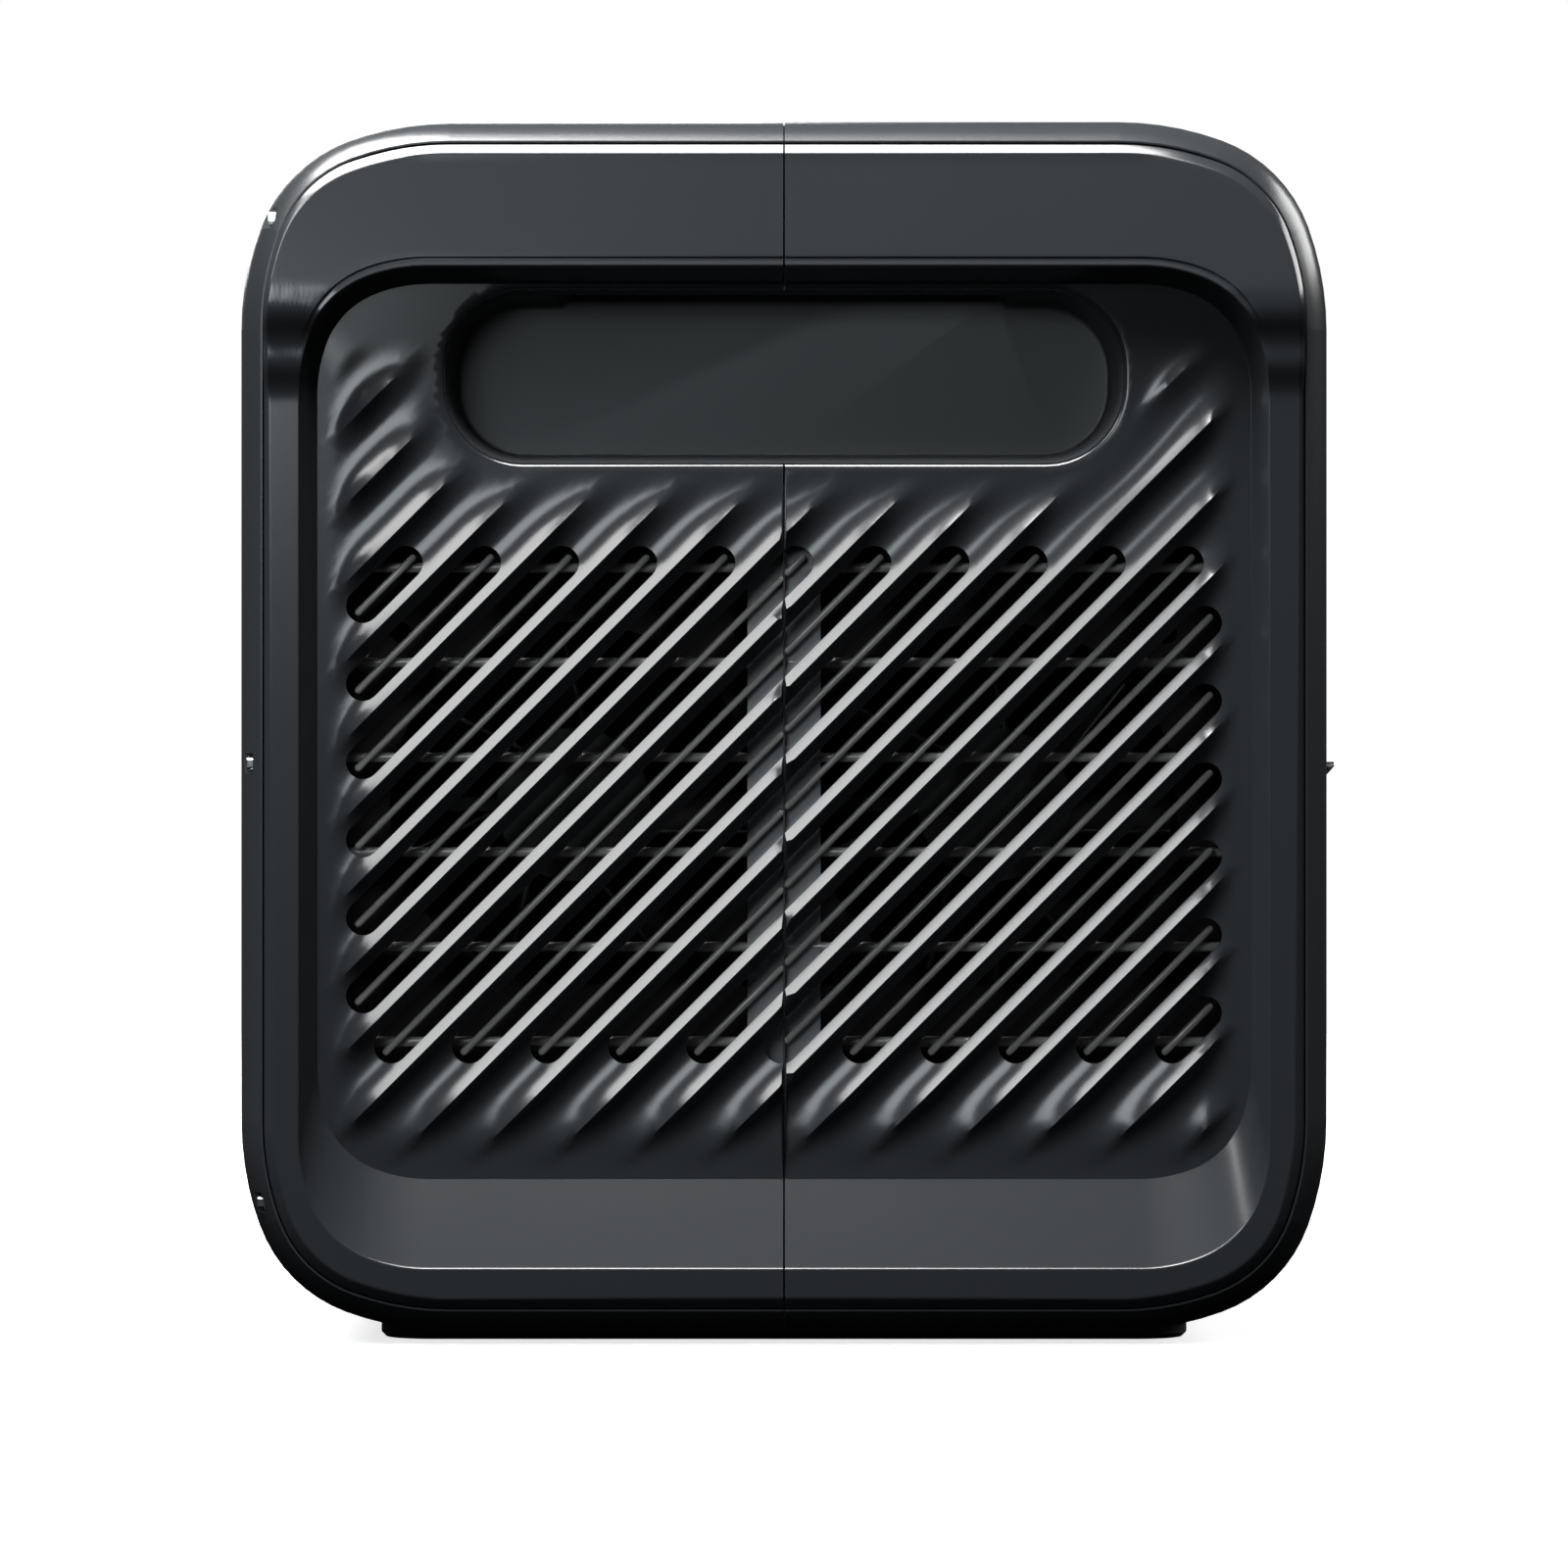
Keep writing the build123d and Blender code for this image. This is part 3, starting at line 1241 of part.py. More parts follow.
with BuildPart() as battery_tray:
    with BuildSketch(Plane.XY.offset(floor_height + tray_lift)):
        edge = 2 * (fit_gap + tray_wall)
        RectangleRounded(cells_width + edge, cells_length + edge, 3)
    extrude(amount=tray_floor + tray_rise)
    chamfer(battery_tray.faces().sort_by(Axis.Z)[0].edges(), length=tray_wall / 2 + join)
    with BuildSketch(Plane.XY.offset(cell_bottom)):
        Rectangle(cells_width + 2 * fit_gap, cells_length + 2 * fit_gap)
    extrude(amount=tray_rise, mode=Mode.SUBTRACT)
keep(battery_tray.part, "battery_tray")

with BuildPart() as battery_cells:
    with BuildSketch(Plane.XY.offset(cell_bottom)):
        with GridLocations(cell_x + cell_gap, cell_step, 2, cells_long):
            RectangleRounded(cell_x, cell_y, 2)
    extrude(amount=cell_z)
    with BuildSketch(Plane.XY.offset(cell_top)):
        with GridLocations(cell_x + cell_gap, cell_step, 2, cells_long):
            with GridLocations(2 * terminal_x, 0, 2, 1):
                Circle(terminal_radius)
    extrude(amount=terminal_height)
keep(battery_cells.part, "battery_cells")

with BuildPart() as battery_cover:
    with BuildSketch(Plane.XY.offset(cell_top)):
        RectangleRounded(cells_width, cells_length, 3)
        with GridLocations(cell_x + cell_gap, cell_step, 2, cells_long):
            with GridLocations(2 * terminal_x, 0, 2, 1):
                Circle(terminal_radius + fit_gap, mode=Mode.SUBTRACT)
    extrude(amount=cover_thick)
    with BuildSketch(Plane.XY.offset(cell_top + cover_thick)):
        with GridLocations(bms_width - post_inset, bms_length - post_inset, 2, 2):
            Circle(post_radius)
    extrude(amount=bms_lift)
keep(battery_cover.part, "battery_cover")

with BuildPart() as cell_busbars:
    with BuildSketch(Plane.XY.offset(cell_top + terminal_height)):
        for column in (-cell_column, cell_column):
            for side in (-1, 1):
                first = (cells_long - 2) / 2 if side > 0 else (cells_long - 3) / 2
                count = cells_long // 2 if side > 0 else cells_long // 2 - 1
                with Locations((column + side * terminal_x, 0)):
                    with GridLocations(0, 2 * cell_step, 1, count):
                        RectangleRounded(2 * terminal_radius, cell_step + 2 * terminal_radius, 2)
    extrude(amount=bar_thick)
keep(cell_busbars.part, "cell_busbars")

bms_z = cell_top + cover_thick + bms_lift
with BuildPart() as battery_monitor_board:
    with BuildSketch(Plane.XY.offset(bms_z)):
        Rectangle(bms_width, bms_length)
    extrude(amount=board_thick)
    with BuildSketch(Plane.XY.offset(bms_z + board_thick)):
        with GridLocations(0, chip_pitch, 1, 4):
            Rectangle(chip_size, chip_size)
    extrude(amount=chip_height)
keep(battery_monitor_board.part, "battery_monitor_board")

# ---------------------------------------------------------------- power deck
with BuildPart() as power_deck:
    with BuildSketch(Plane.XY.offset(deck_z)):
        RectangleRounded(deck_width, deck_length, 4)
    extrude(amount=deck_thick)
    with BuildSketch(Plane.XY.offset(floor_height)):
        with GridLocations(2 * leg_x, 2 * leg_y, 2, 2):
            Rectangle(leg_size, leg_size)
    extrude(amount=deck_z - floor_height)
    with BuildSketch(Plane.XY.offset(deck_z + deck_thick)):
        with GridLocations(inverter_width - post_inset, inverter_length - post_inset, 2, 2):
            Circle(post_radius)
    extrude(amount=standoff)
keep(power_deck.part, "power_deck")

inverter_z = deck_z + deck_thick + standoff
inverter_top = inverter_z + board_thick
with BuildPart() as inverter_board:
    with BuildSketch(Plane.XY.offset(inverter_z)):
        Rectangle(inverter_width, inverter_length)
    extrude(amount=board_thick)
    with BuildSketch(Plane.XY.offset(inverter_top)):
        with Locations((0, core_pitch / 4)):
            with GridLocations(chip_size * 1.5, 0, 3, 1):
                Rectangle(chip_size, chip_size)
    extrude(amount=chip_height)
keep(inverter_board.part, "inverter_board")

with BuildPart() as heat_sinks:
    with BuildSketch(Plane.XY.offset(inverter_top)):
        with GridLocations(2 * sink_x, 0, 2, 1):
            Rectangle(sink_width, sink_length)
    extrude(amount=sink_base)
    with BuildSketch(Plane.XY.offset(inverter_top + sink_base)):
        with GridLocations(2 * sink_x, 0, 2, 1):
            with GridLocations((sink_width - fin_thick) / (fin_count - 1), 0, fin_count, 1):
                Rectangle(fin_thick, sink_length)
    extrude(amount=sink_height - sink_base)
keep(heat_sinks.part, "heat_sinks")

with BuildPart() as transformers:
    with BuildSketch(Plane.XY.offset(inverter_top)):
        with GridLocations(0, core_pitch, 1, 2):
            RectangleRounded(core_width, core_length, 2)
    extrude(amount=core_height)
    with BuildSketch(Plane.YZ):
        with Locations((0, inverter_top + core_height / 2)):
            with GridLocations(core_pitch, 0, 2, 1):
                RectangleRounded(core_length * 0.6, core_height - 2 * tray_wall, 4)
    extrude(amount=core_width / 2 + coil_swell, both=True)
keep(transformers.part, "transformers")

with BuildPart() as capacitors:
    with BuildSketch(Plane.XY.offset(inverter_top)):
        with GridLocations(2.4 * capacitor_radius, 2.4 * capacitor_radius, 3, 2):
            Circle(capacitor_radius)
    extrude(amount=capacitor_height)
    chamfer(capacitors.faces().sort_by(Axis.Z)[-1].edges(), length=1)
keep(capacitors.part, "capacitors")
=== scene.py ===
# %% [markdown]
# # A portable power station, seen from its slotted end
#
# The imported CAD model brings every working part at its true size: case halves, doors, buttons, fans and
# battery. This file gives the object its looks. Each `# %%` cell is one small step, and the text before
# it says what the step makes on the real object and why it is made that way. Shapes are thought out in
# millimetres, like the drawings of such a case, and become metres when they go into a mesh.

import math

import bmesh
import bpy
import numpy as np
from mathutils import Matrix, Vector
from mathutils.geometry import delaunay_2d_cdt


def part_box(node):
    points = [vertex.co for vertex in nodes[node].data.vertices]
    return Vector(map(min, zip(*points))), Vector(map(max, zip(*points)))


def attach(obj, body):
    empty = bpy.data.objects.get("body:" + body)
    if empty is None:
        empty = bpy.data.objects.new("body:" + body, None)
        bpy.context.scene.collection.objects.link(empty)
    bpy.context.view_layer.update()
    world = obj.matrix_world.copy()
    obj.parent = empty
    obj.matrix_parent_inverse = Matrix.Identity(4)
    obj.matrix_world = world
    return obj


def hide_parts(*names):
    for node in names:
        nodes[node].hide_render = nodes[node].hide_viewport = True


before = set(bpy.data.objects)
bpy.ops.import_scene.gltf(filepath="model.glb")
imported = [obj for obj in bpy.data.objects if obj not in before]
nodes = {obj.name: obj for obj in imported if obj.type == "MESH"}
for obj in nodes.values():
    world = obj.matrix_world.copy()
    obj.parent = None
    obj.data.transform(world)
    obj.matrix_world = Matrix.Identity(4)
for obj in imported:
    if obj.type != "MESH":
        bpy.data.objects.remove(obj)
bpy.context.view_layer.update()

# %% [markdown]
# ## Camera
#
# The object is seen straight on from one end, from about a metre and a half, with a long lens. That keeps
# the end's outline almost free of perspective, as in a product picture. The camera stands level with the
# middle of the frame that it sees.

# %% Camera
scene = bpy.context.scene
CAMERA_DISTANCE, CAMERA_HEIGHT = 1.5, 0.1158
FOCAL_LENGTH, SENSOR_WIDTH = 167.8, 36.0  # millimetres
lens = bpy.data.cameras.new("end_view")
lens.lens = FOCAL_LENGTH
lens.sensor_width = SENSOR_WIDTH
camera = bpy.data.objects.new("end_view", lens)
scene.collection.objects.link(camera)
end_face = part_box("left_end_panel_front")[0].y
camera.location = (0.0, end_face - CAMERA_DISTANCE, CAMERA_HEIGHT)
camera.rotation_euler = (math.pi / 2, 0.0, 0.0)
scene.camera = camera
scene.view_settings.view_transform = "Standard"
print("camera at", [round(c, 3) for c in camera.location])

# %% [markdown]
# ## Lengths read from the frame
#
# The end panels, grips and guards are modelled afresh below, so they must sit exactly where the CAD parts
# are. Outer sizes come from the boxes of the parts around them. What a box can't tell, such as how wide a
# slot is, is a named length here, in millimetres.

# %% Sizes of the case and its ends
MM = 0.001


def box_mm(node):
    """Lowest and highest corner of a CAD node, in millimetres."""
    low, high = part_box(node)
    return np.array(low) / MM, np.array(high) / MM


shell_low, shell_high = box_mm("rear_housing")
panel_low, panel_high = box_mm("left_end_panel_front")
guard_low, guard_high = box_mm("left_fan_guard_front")

case_middle = (shell_low[2] + shell_high[2]) / 2
rim_plane = -shell_low[1]  # from the middle of the case to the rim of its left end
panel_foot = rim_plane + panel_high[1]  # depth below the rim at which the panel stands
panel_width = 2 * panel_high[0]
panel_height = panel_high[2] - panel_low[2]
panel_proud = 1.0
ledge_reach = -rim_plane - panel_low[1] - panel_proud
SEAM = 0.2  # half of the gap between the two halves
FIELD_DEPTH, FIELD_BACK = 7.0, 9.5
WELL = {"width": 199.6, "height": 205.8, "middle": 119.1, "tight": 20.8, "gentle": 34.7}
FIELD = {"width": 193.2, "height": 185.3, "middle": 126.65, "tight": 17.6, "gentle": 31.5}
RIM = {
    "width": panel_width,
    "height": panel_height,
    "middle": case_middle,
    "tight": 24.8,
    "gentle": 57.9,
}
print(f"rim plane {rim_plane:.1f} mm out, panel {panel_width:.1f} x {panel_height:.1f} mm")
print(f"the carry ledge leans out by {ledge_reach:.1f} mm")

# %% [markdown]
# ## From arrays to pieces
#
# Every new piece is worked out as arrays of points. Two helpers turn them into Blender objects: one joins
# the points of a grid into quads, and the other makes the mesh, turns its faces outwards, and shades it
# smoothly wherever two faces meet at a gentle angle, so creases stay crisp.


# %% Grid faces and mesh maker
def grid_faces(rows, columns, close_rows=False, close_columns=False, start=0):
    """Quads over points numbered start + row * columns + column; a closed direction joins on itself."""
    row = np.arange(rows if close_rows else rows - 1)
    column = np.arange(columns if close_columns else columns - 1)
    i, j = np.meshgrid(row, column, indexing="ij")
    k, m = (i + 1) % rows, (j + 1) % columns
    quads = np.stack([i * columns + j, k * columns + j, k * columns + m, i * columns + m], axis=-1)
    return (quads.reshape(-1, 4) + start).tolist()


def make_piece(name, points, faces, material, crease=34.0):
    """Object from points in millimetres and faces by number; faces are turned out of each shell."""
    mesh = bpy.data.meshes.new(name)
    mesh.from_pydata((np.asarray(points) * MM).tolist(), [], faces)
    work = bmesh.new()
    work.from_mesh(mesh)
    bmesh.ops.recalc_face_normals(work, faces=work.faces)
    work.to_mesh(mesh)
    work.free()
    mesh.shade_smooth()
    mesh.set_sharp_from_angle(angle=math.radians(crease))
    mesh.materials.append(material)
    piece = bpy.data.objects.new(name, mesh)
    scene.collection.objects.link(piece)
    return piece


def smooth(t):
    """Zero below 0, one above 1, and an S-shaped rise 3t^2 - 2t^3 between."""
    t = np.clip(t, 0.0, 1.0)
    return t * t * (3 - 2 * t)


# %% [markdown]
# ## Finishes
#
# Most of the object is charcoal plastic from a textured mould: satin, with a grain that only shows close
# up and a sheen that varies a little from place to place. One recipe makes every finish. A fine noise in
# Object coordinates gives the grain as bump, a broad one varies roughness, and a third shifts the colour by
# up to twice the tint. Constant values go on the shader's own sockets.

# %% One recipe for all finishes
TINT_SIZE, SHEEN_SIZE = 60.0, 40.0  # millimetres
GRAIN_RELIEF = 0.00005  # metres


def finish(name, colour, rough, grain=0.5, bump=0.12, tint=0.03, spread=0.025, metallic=0.0, **sockets):
    """Principled material; grain is the texture's size in millimetres, tint and spread are shares."""
    material = bpy.data.materials.new(name)
    material.use_nodes = True
    tree = material.node_tree
    shader = tree.nodes["Principled BSDF"]
    shader.inputs["Metallic"].default_value = metallic
    for socket, value in sockets.items():
        shader.inputs[socket.replace("_", " ")].default_value = value
    place = tree.nodes.new("ShaderNodeTexCoord")

    def noise(size, detail):
        node = tree.nodes.new("ShaderNodeTexNoise")
        node.inputs["Scale"].default_value = 1.0 / (size * MM)
        node.inputs["Detail"].default_value = detail
        tree.links.new(place.outputs["Object"], node.inputs["Vector"])
        return node.outputs["Fac"]

    ramp = tree.nodes.new("ShaderNodeValToRGB")
    for element, share in zip(ramp.color_ramp.elements, (1 - 2 * tint, 1 + 2 * tint)):
        element.color = (*[min(1.0, c * share) for c in colour], 1.0)
    tree.links.new(noise(TINT_SIZE, 2.0), ramp.inputs["Fac"])
    tree.links.new(ramp.outputs["Color"], shader.inputs["Base Color"])
    sheen = tree.nodes.new("ShaderNodeMapRange")
    sheen.inputs["To Min"].default_value = rough * (1 - 2 * spread)
    sheen.inputs["To Max"].default_value = rough * (1 + 2 * spread)
    tree.links.new(noise(SHEEN_SIZE, 1.0), sheen.inputs["Value"])
    tree.links.new(sheen.outputs["Result"], shader.inputs["Roughness"])
    relief = tree.nodes.new("ShaderNodeBump")
    relief.inputs["Strength"].default_value = bump
    relief.inputs["Distance"].default_value = GRAIN_RELIEF
    tree.links.new(noise(grain, 2.0), relief.inputs["Height"])
    tree.links.new(relief.outputs["Normal"], shader.inputs["Normal"])
    return material


CHARCOAL = (0.0122, 0.0137, 0.0152)
shell_plastic = finish("shell_plastic", CHARCOAL, 0.27, tint=0.0)
panel_plastic = finish("panel_plastic", CHARCOAL, 0.20, tint=0.0)
grip_plastic = finish("grip_plastic", (0.0240, 0.0268, 0.0290), 0.46)
# Guard and strip colours are far lighter than the black plastic around them: painted light, standing in for
# the light that hardly reaches them deep in the slots.
guard_painted_highlight = finish("guard_painted_highlight", (0.230, 0.226, 0.220), 0.22, grain=0.35)
strip_painted_light = finish("strip_painted_light", (0.190, 0.200, 0.215), 0.5, grain=0.35)
rubber = finish("rubber", (0.018, 0.018, 0.019), 0.62, grain=0.8, bump=0.25)
print("finishes:", len(bpy.data.materials))

# %% [markdown]
# ## The soft rectangle
#
# Rim, well and field share one kind of outline: a rectangle whose corners turn gently, then tightly, then
# gently again, which looks calmer than a plain round corner. Each half of the case takes one half of it,
# from the seam at the top round to the seam at the bottom. All outlines are sampled at the same shares of
# their lines and arcs, so that point number n lies at the same place on each, and walls can be drawn
# straight between them.

# %% Half outline of a soft rectangle
LEAN = math.radians(20.0)
ALONG_TOP, GENTLE_STEPS, TIGHT_STEPS, ALONG_SIDE = 24, 10, 20, 130


def half_outline(width, height, middle, tight, gentle, grow=0.0):
    """Points (x, z) of the x > 0 half: line, arcs of radius gentle, tight, gentle, line, and mirror."""
    w, h = width / 2 + grow, height / 2 + grow
    tight, gentle = tight + grow, gentle + grow
    reach = gentle * (math.sin(LEAN) + 1 - math.cos(LEAN)) + tight * (math.cos(LEAN) - math.sin(LEAN))
    step = gentle - tight

    def arc(cx, cz, radius, start, stop, count):
        angle = np.linspace(start, stop, count, endpoint=False)
        return np.stack([cx + radius * np.cos(angle), cz + radius * np.sin(angle)], axis=-1)

    def line(start, stop, count):
        share = np.linspace(0, 1, count, endpoint=False)[:, None]
        return np.array(start) * (1 - share) + np.array(stop) * share

    quarter = math.pi / 2
    corner = np.concatenate(
        [
            arc(w - reach, h - gentle, gentle, quarter, quarter - LEAN, GENTLE_STEPS),
            arc(
                w - gentle + step * math.cos(LEAN),
                h - reach + step * math.sin(LEAN),
                tight,
                quarter - LEAN,
                LEAN,
                TIGHT_STEPS,
            ),
            arc(w - gentle, h - reach, gentle, LEAN, 0, GENTLE_STEPS),
            [[w, h - reach]],
        ]
    )
    top = line((SEAM, h), (w - reach, h), ALONG_TOP)
    side = line((w, h - reach), (w, reach - h), ALONG_SIDE)[1:]
    half = np.concatenate([top, corner, side, (corner * [1, -1])[::-1], (top * [1, -1])[::-1]])
    return half + [0, middle]


rim_line = half_outline(**RIM)
well_line = half_outline(**WELL)
field_line = half_outline(**FIELD)
print("points on each half outline:", len(rim_line))

# %% [markdown]
# ## The end frame with its carry ledge
#
# Around the field runs a frame: a rounded outer edge, a flat band, a thin groove with a bead along the
# well's mouth, and a wall that slopes down to the field. Above the grip the band leans out like the lip of
# a drawer pull, and on each side it falls back in two soft steps. A profile carried along the outlines
# makes all of this as one surface: how far the band stands out depends only on the height.

# %% Band height and frame profile
LEDGE_TOP, LEDGE_RUN = 245.0, 28.0  # height where the lean starts, and the drop over which it grows
FALLS = ((0.55, 213.5, 7.5), (0.45, 203.2, 7.4))  # share given back, height where it starts, drop


def ledge_lean(z):
    """Lean of the band: straight from 0 at the top to the full reach, then back in two S-steps."""
    rise = np.clip((LEDGE_TOP - z) / LEDGE_RUN, 0, 1) * ledge_reach
    fall = sum(share * smooth((start - z) / drop) for share, start, drop in FALLS)
    return rise * (1 - fall)


# The outer edge, as (shares of its width inwards, shares of its drop below the band).
EDGE_WIDTH, EDGE_DROP = 2.1, 1.15
EDGE = [(0.0, 5.0), (0.0, 2.2), (0.0, 1.15), (0.03, 1.04), (0.10, 0.94), (0.5, 0.51)]
EDGE += [(0.86, 0.13), (0.96, 0.045), (1.07, 0.008), (1.2, 0.0)]
# The groove, as (distance out from the well's mouth, depth below the band). It fades out down the sides.
GROOVE = ((2.2, 0.02), (2.08, 0.30), (1.9, 0.38), (1.3, 0.35), (0.75, 0.29))
GROOVE_LOW, GROOVE_FADE, BAND_END = 204.0, 10.0, 2.6
BEAD_ROUND, BEAD_EXTRA, BEAD_SUNK = 0.45, 0.15, 0.27
WALL = 2.5


def end_frame():
    """Grid of points (profile, outline): skirt, edge, band, groove, bead, wall to the field, back."""
    span = well_line - rim_line
    inward = span / np.linalg.norm(span, axis=1)[:, None]
    rows = []

    def add(plane, depth):
        rows.append(np.stack([plane[:, 0], np.broadcast_to(depth, len(plane)), plane[:, 1]], axis=-1))

    def face(plane):
        return -panel_proud - ledge_lean(plane[:, 1])

    add(rim_line, panel_foot)
    for out, sink in EDGE:
        plane = rim_line + inward * EDGE_WIDTH * out
        add(plane, face(plane) + EDGE_DROP * sink)
    for share in np.linspace(0.08, 1, 12):
        plane = rim_line + inward * EDGE_WIDTH * EDGE[-1][0]
        plane = plane + (well_line - inward * BAND_END - plane) * share
        add(plane, face(plane))
    fade = smooth((well_line[:, 1] - GROOVE_LOW) / GROOVE_FADE)
    for out, sink in GROOVE:
        plane = well_line - inward * out
        add(plane, face(plane) + sink * fade)
    bead = BEAD_ROUND + BEAD_EXTRA * fade
    for turn in np.linspace(0, math.pi / 2, 7):
        plane = well_line - inward * (bead * (1 - math.sin(turn)))[:, None]
        add(plane, face(plane) + BEAD_SUNK * fade + bead * (1 - math.cos(turn)))
    lip = face(well_line) + BEAD_SUNK * fade + bead
    for share in np.linspace(0.14, 1, 7):
        plane = well_line + (field_line - well_line) * share
        add(plane, lip + (FIELD_DEPTH - lip) * share)
    add(field_line, FIELD_BACK)
    add(rim_line + inward * WALL, FIELD_BACK)
    add(rim_line + inward * WALL, panel_foot)
    return np.array(rows)


frame_grid = end_frame()
print("end frame profile x outline:", frame_grid.shape[:2])

# %% [markdown]
# ## The slotted field
#
# The field is a plate with seventeen slots at 45 degrees and, between them, ridges like breaking waves: a
# steep side that stays dark and a long hollow side that catches the light. The ridges fade out before the
# edges and around the grip. A flat triangulation takes the slots, the grip's opening and the ridges'
# crests as fixed lines, and the height of each point then follows from its place.

# %% Slots, grip opening and ridge heights
PITCH, SLOT_WIDTH, SLOT_SHIFT = 16.16, 7.1, 1.0
SLOT_MIDDLE, SLOT_SPAN_X, SLOT_SPAN_Z = 111.5, 87.15, 50.05
ROOT2 = math.sqrt(2)
ACROSS = PITCH / ROOT2  # distance between ridges, square to them
CREST_PAST_SLOT = 5.55
CREST = (SLOT_SHIFT - SLOT_MIDDLE) / ROOT2 + CREST_PAST_SLOT
RIDGE, STEEP, HOLLOW = 2.7, 4.2, 2.2  # height of a ridge, width of its steep side, power of its long side
# Where the ridges have faded to nothing, and the run over which they grow from there.
FADE_LOW, FADE_HIGH, FADE_SIDE, FADE_GRIP = (36.0, 17.0), (208.0, 13.0), (94.0, 8.0), (2.0, 14.0)
GRIP_X, GRIP_Z, GRIP_ROUND, GRIP_MIDDLE = 70.4, 17.95, 16.2, 200.1
GRIP_ROLL, SEAM_CHAMFER = 0.9, 0.08


def slot_ends():
    """Start and end of each slot's centre line, where x - z is constant, clipped to the slot field."""
    shift = np.arange(-8, 9) * PITCH + SLOT_SHIFT
    low = np.maximum(-SLOT_SPAN_X, shift - SLOT_SPAN_Z)
    high = np.minimum(SLOT_SPAN_X, shift + SLOT_SPAN_Z)
    start = np.stack([low, low - shift + SLOT_MIDDLE], axis=-1)
    stop = np.stack([high, high - shift + SLOT_MIDDLE], axis=-1)
    return start, stop


def slot_distance(points):
    """Distance from each point to the nearest slot's centre line."""
    start, stop = slot_ends()
    run = stop - start
    offset = points[:, None] - start[None]
    share = np.clip((offset * run).sum(-1) / (run * run).sum(-1), 0, 1)
    return np.linalg.norm(offset - share[..., None] * run, axis=-1).min(axis=1)


def grip_distance(points):
    """Signed distance to the grip's rounded rectangle, negative inside."""
    q = np.abs(points - [0, GRIP_MIDDLE]) - [GRIP_X - GRIP_ROUND, GRIP_Z - GRIP_ROUND]
    return np.linalg.norm(np.maximum(q, 0), axis=-1) + np.minimum(q.max(axis=-1), 0) - GRIP_ROUND


def ridge_height(points):
    """Wave: (1 - t)^2 down the steep side, t^HOLLOW up the long side, times a mask that fades out."""
    x, z = points[:, 0], points[:, 1]
    past = np.mod((x - z) / ROOT2 - CREST, ACROSS)
    steep = (1 - np.minimum(past / STEEP, 1)) ** 2
    gentle = (np.maximum(past - STEEP, 0) / (ACROSS - STEEP)) ** HOLLOW
    mask = smooth((z - FADE_LOW[0]) / FADE_LOW[1]) * smooth((FADE_HIGH[0] - z) / FADE_HIGH[1])
    mask = mask * smooth((FADE_SIDE[0] - np.abs(x)) / FADE_SIDE[1])
    mask = mask * smooth((grip_distance(points) - FADE_GRIP[0]) / FADE_GRIP[1])
    return RIDGE * mask * (steep + gentle)


def field_depth(points, side):
    """Depth of the plate's face: ridges, the grip's rolled edge, and a fine chamfer along the seam."""
    near = np.clip(GRIP_ROLL - grip_distance(points), 0, GRIP_ROLL)
    rolled = GRIP_ROLL - np.sqrt(GRIP_ROLL**2 - near**2)
    seam = np.clip(SEAM + SEAM_CHAMFER - side * points[:, 0], 0, SEAM_CHAMFER)
    return FIELD_DEPTH - ridge_height(points) + rolled + seam


print("slots:", len(slot_ends()[0]), "ridge spacing", round(ACROSS, 2), "mm")


# %% Outlines and free points of the field
LATTICE_STEP, RUN_STEP = 2.0, 5  # spacing of points along the ridges, and along a slot's sides
SEAM_CLEAR, SLOT_CLEAR, GRIP_CLEAR, EDGE_CLEAR = 0.7, 0.3, 1.3, 0.3  # free points keep this far off
SEAM_LOW, SEAM_HIGH, BESIDE_SEAM = 36.0, 219.0, 0.3
PLATE_OVERLAP = 0.5  # how far the plate reaches into the frame


def rounded_loop(x, z, radius, middle, grow, count=12):
    """Closed rounded rectangle: four quarter arcs about its corner centres, joined by lines."""
    turns = [np.linspace(k, k + 1, count) * math.pi / 2 for k in range(4)]
    signs = ((1, 1), (-1, 1), (-1, -1), (1, -1))
    r = radius + grow
    arcs = [
        np.stack([sx * (x - radius) + r * np.cos(t), sz * (z - radius) + r * np.sin(t)], axis=-1)
        for t, (sx, sz) in zip(turns, signs)
    ]
    return np.concatenate(arcs) + [0, middle]


def inside(points, loop):
    """True where a ray to the right crosses the loop an odd number of times."""
    a, b = loop, np.roll(loop, -1, axis=0)
    x, z = points[:, :1], points[:, 1:]
    spans = (a[:, 1] > z) != (b[:, 1] > z)
    rise = np.where(b[:, 1] == a[:, 1], 1.0, b[:, 1] - a[:, 1])
    meets = a[:, 0] + (z - a[:, 1]) * (b[:, 0] - a[:, 0]) / rise
    return (spans & (x < meets)).sum(axis=1) % 2 == 1


def field_lattice():
    """Points in rows along the ridges, placed where the wave bends most."""
    bends = np.concatenate([np.linspace(0, STEEP, 5)[:-1], np.linspace(STEEP, ACROSS, 7)[:-1]])
    q = (CREST + np.arange(-12, 13)[:, None] * ACROSS + bends[None]).ravel()
    p = np.arange(-45.0, 225.0, LATTICE_STEP)
    q, p = np.meshgrid(q, p, indexing="ij")
    return np.stack([(q + p) / ROOT2, (p - q) / ROOT2], axis=-1).reshape(-1, 2)


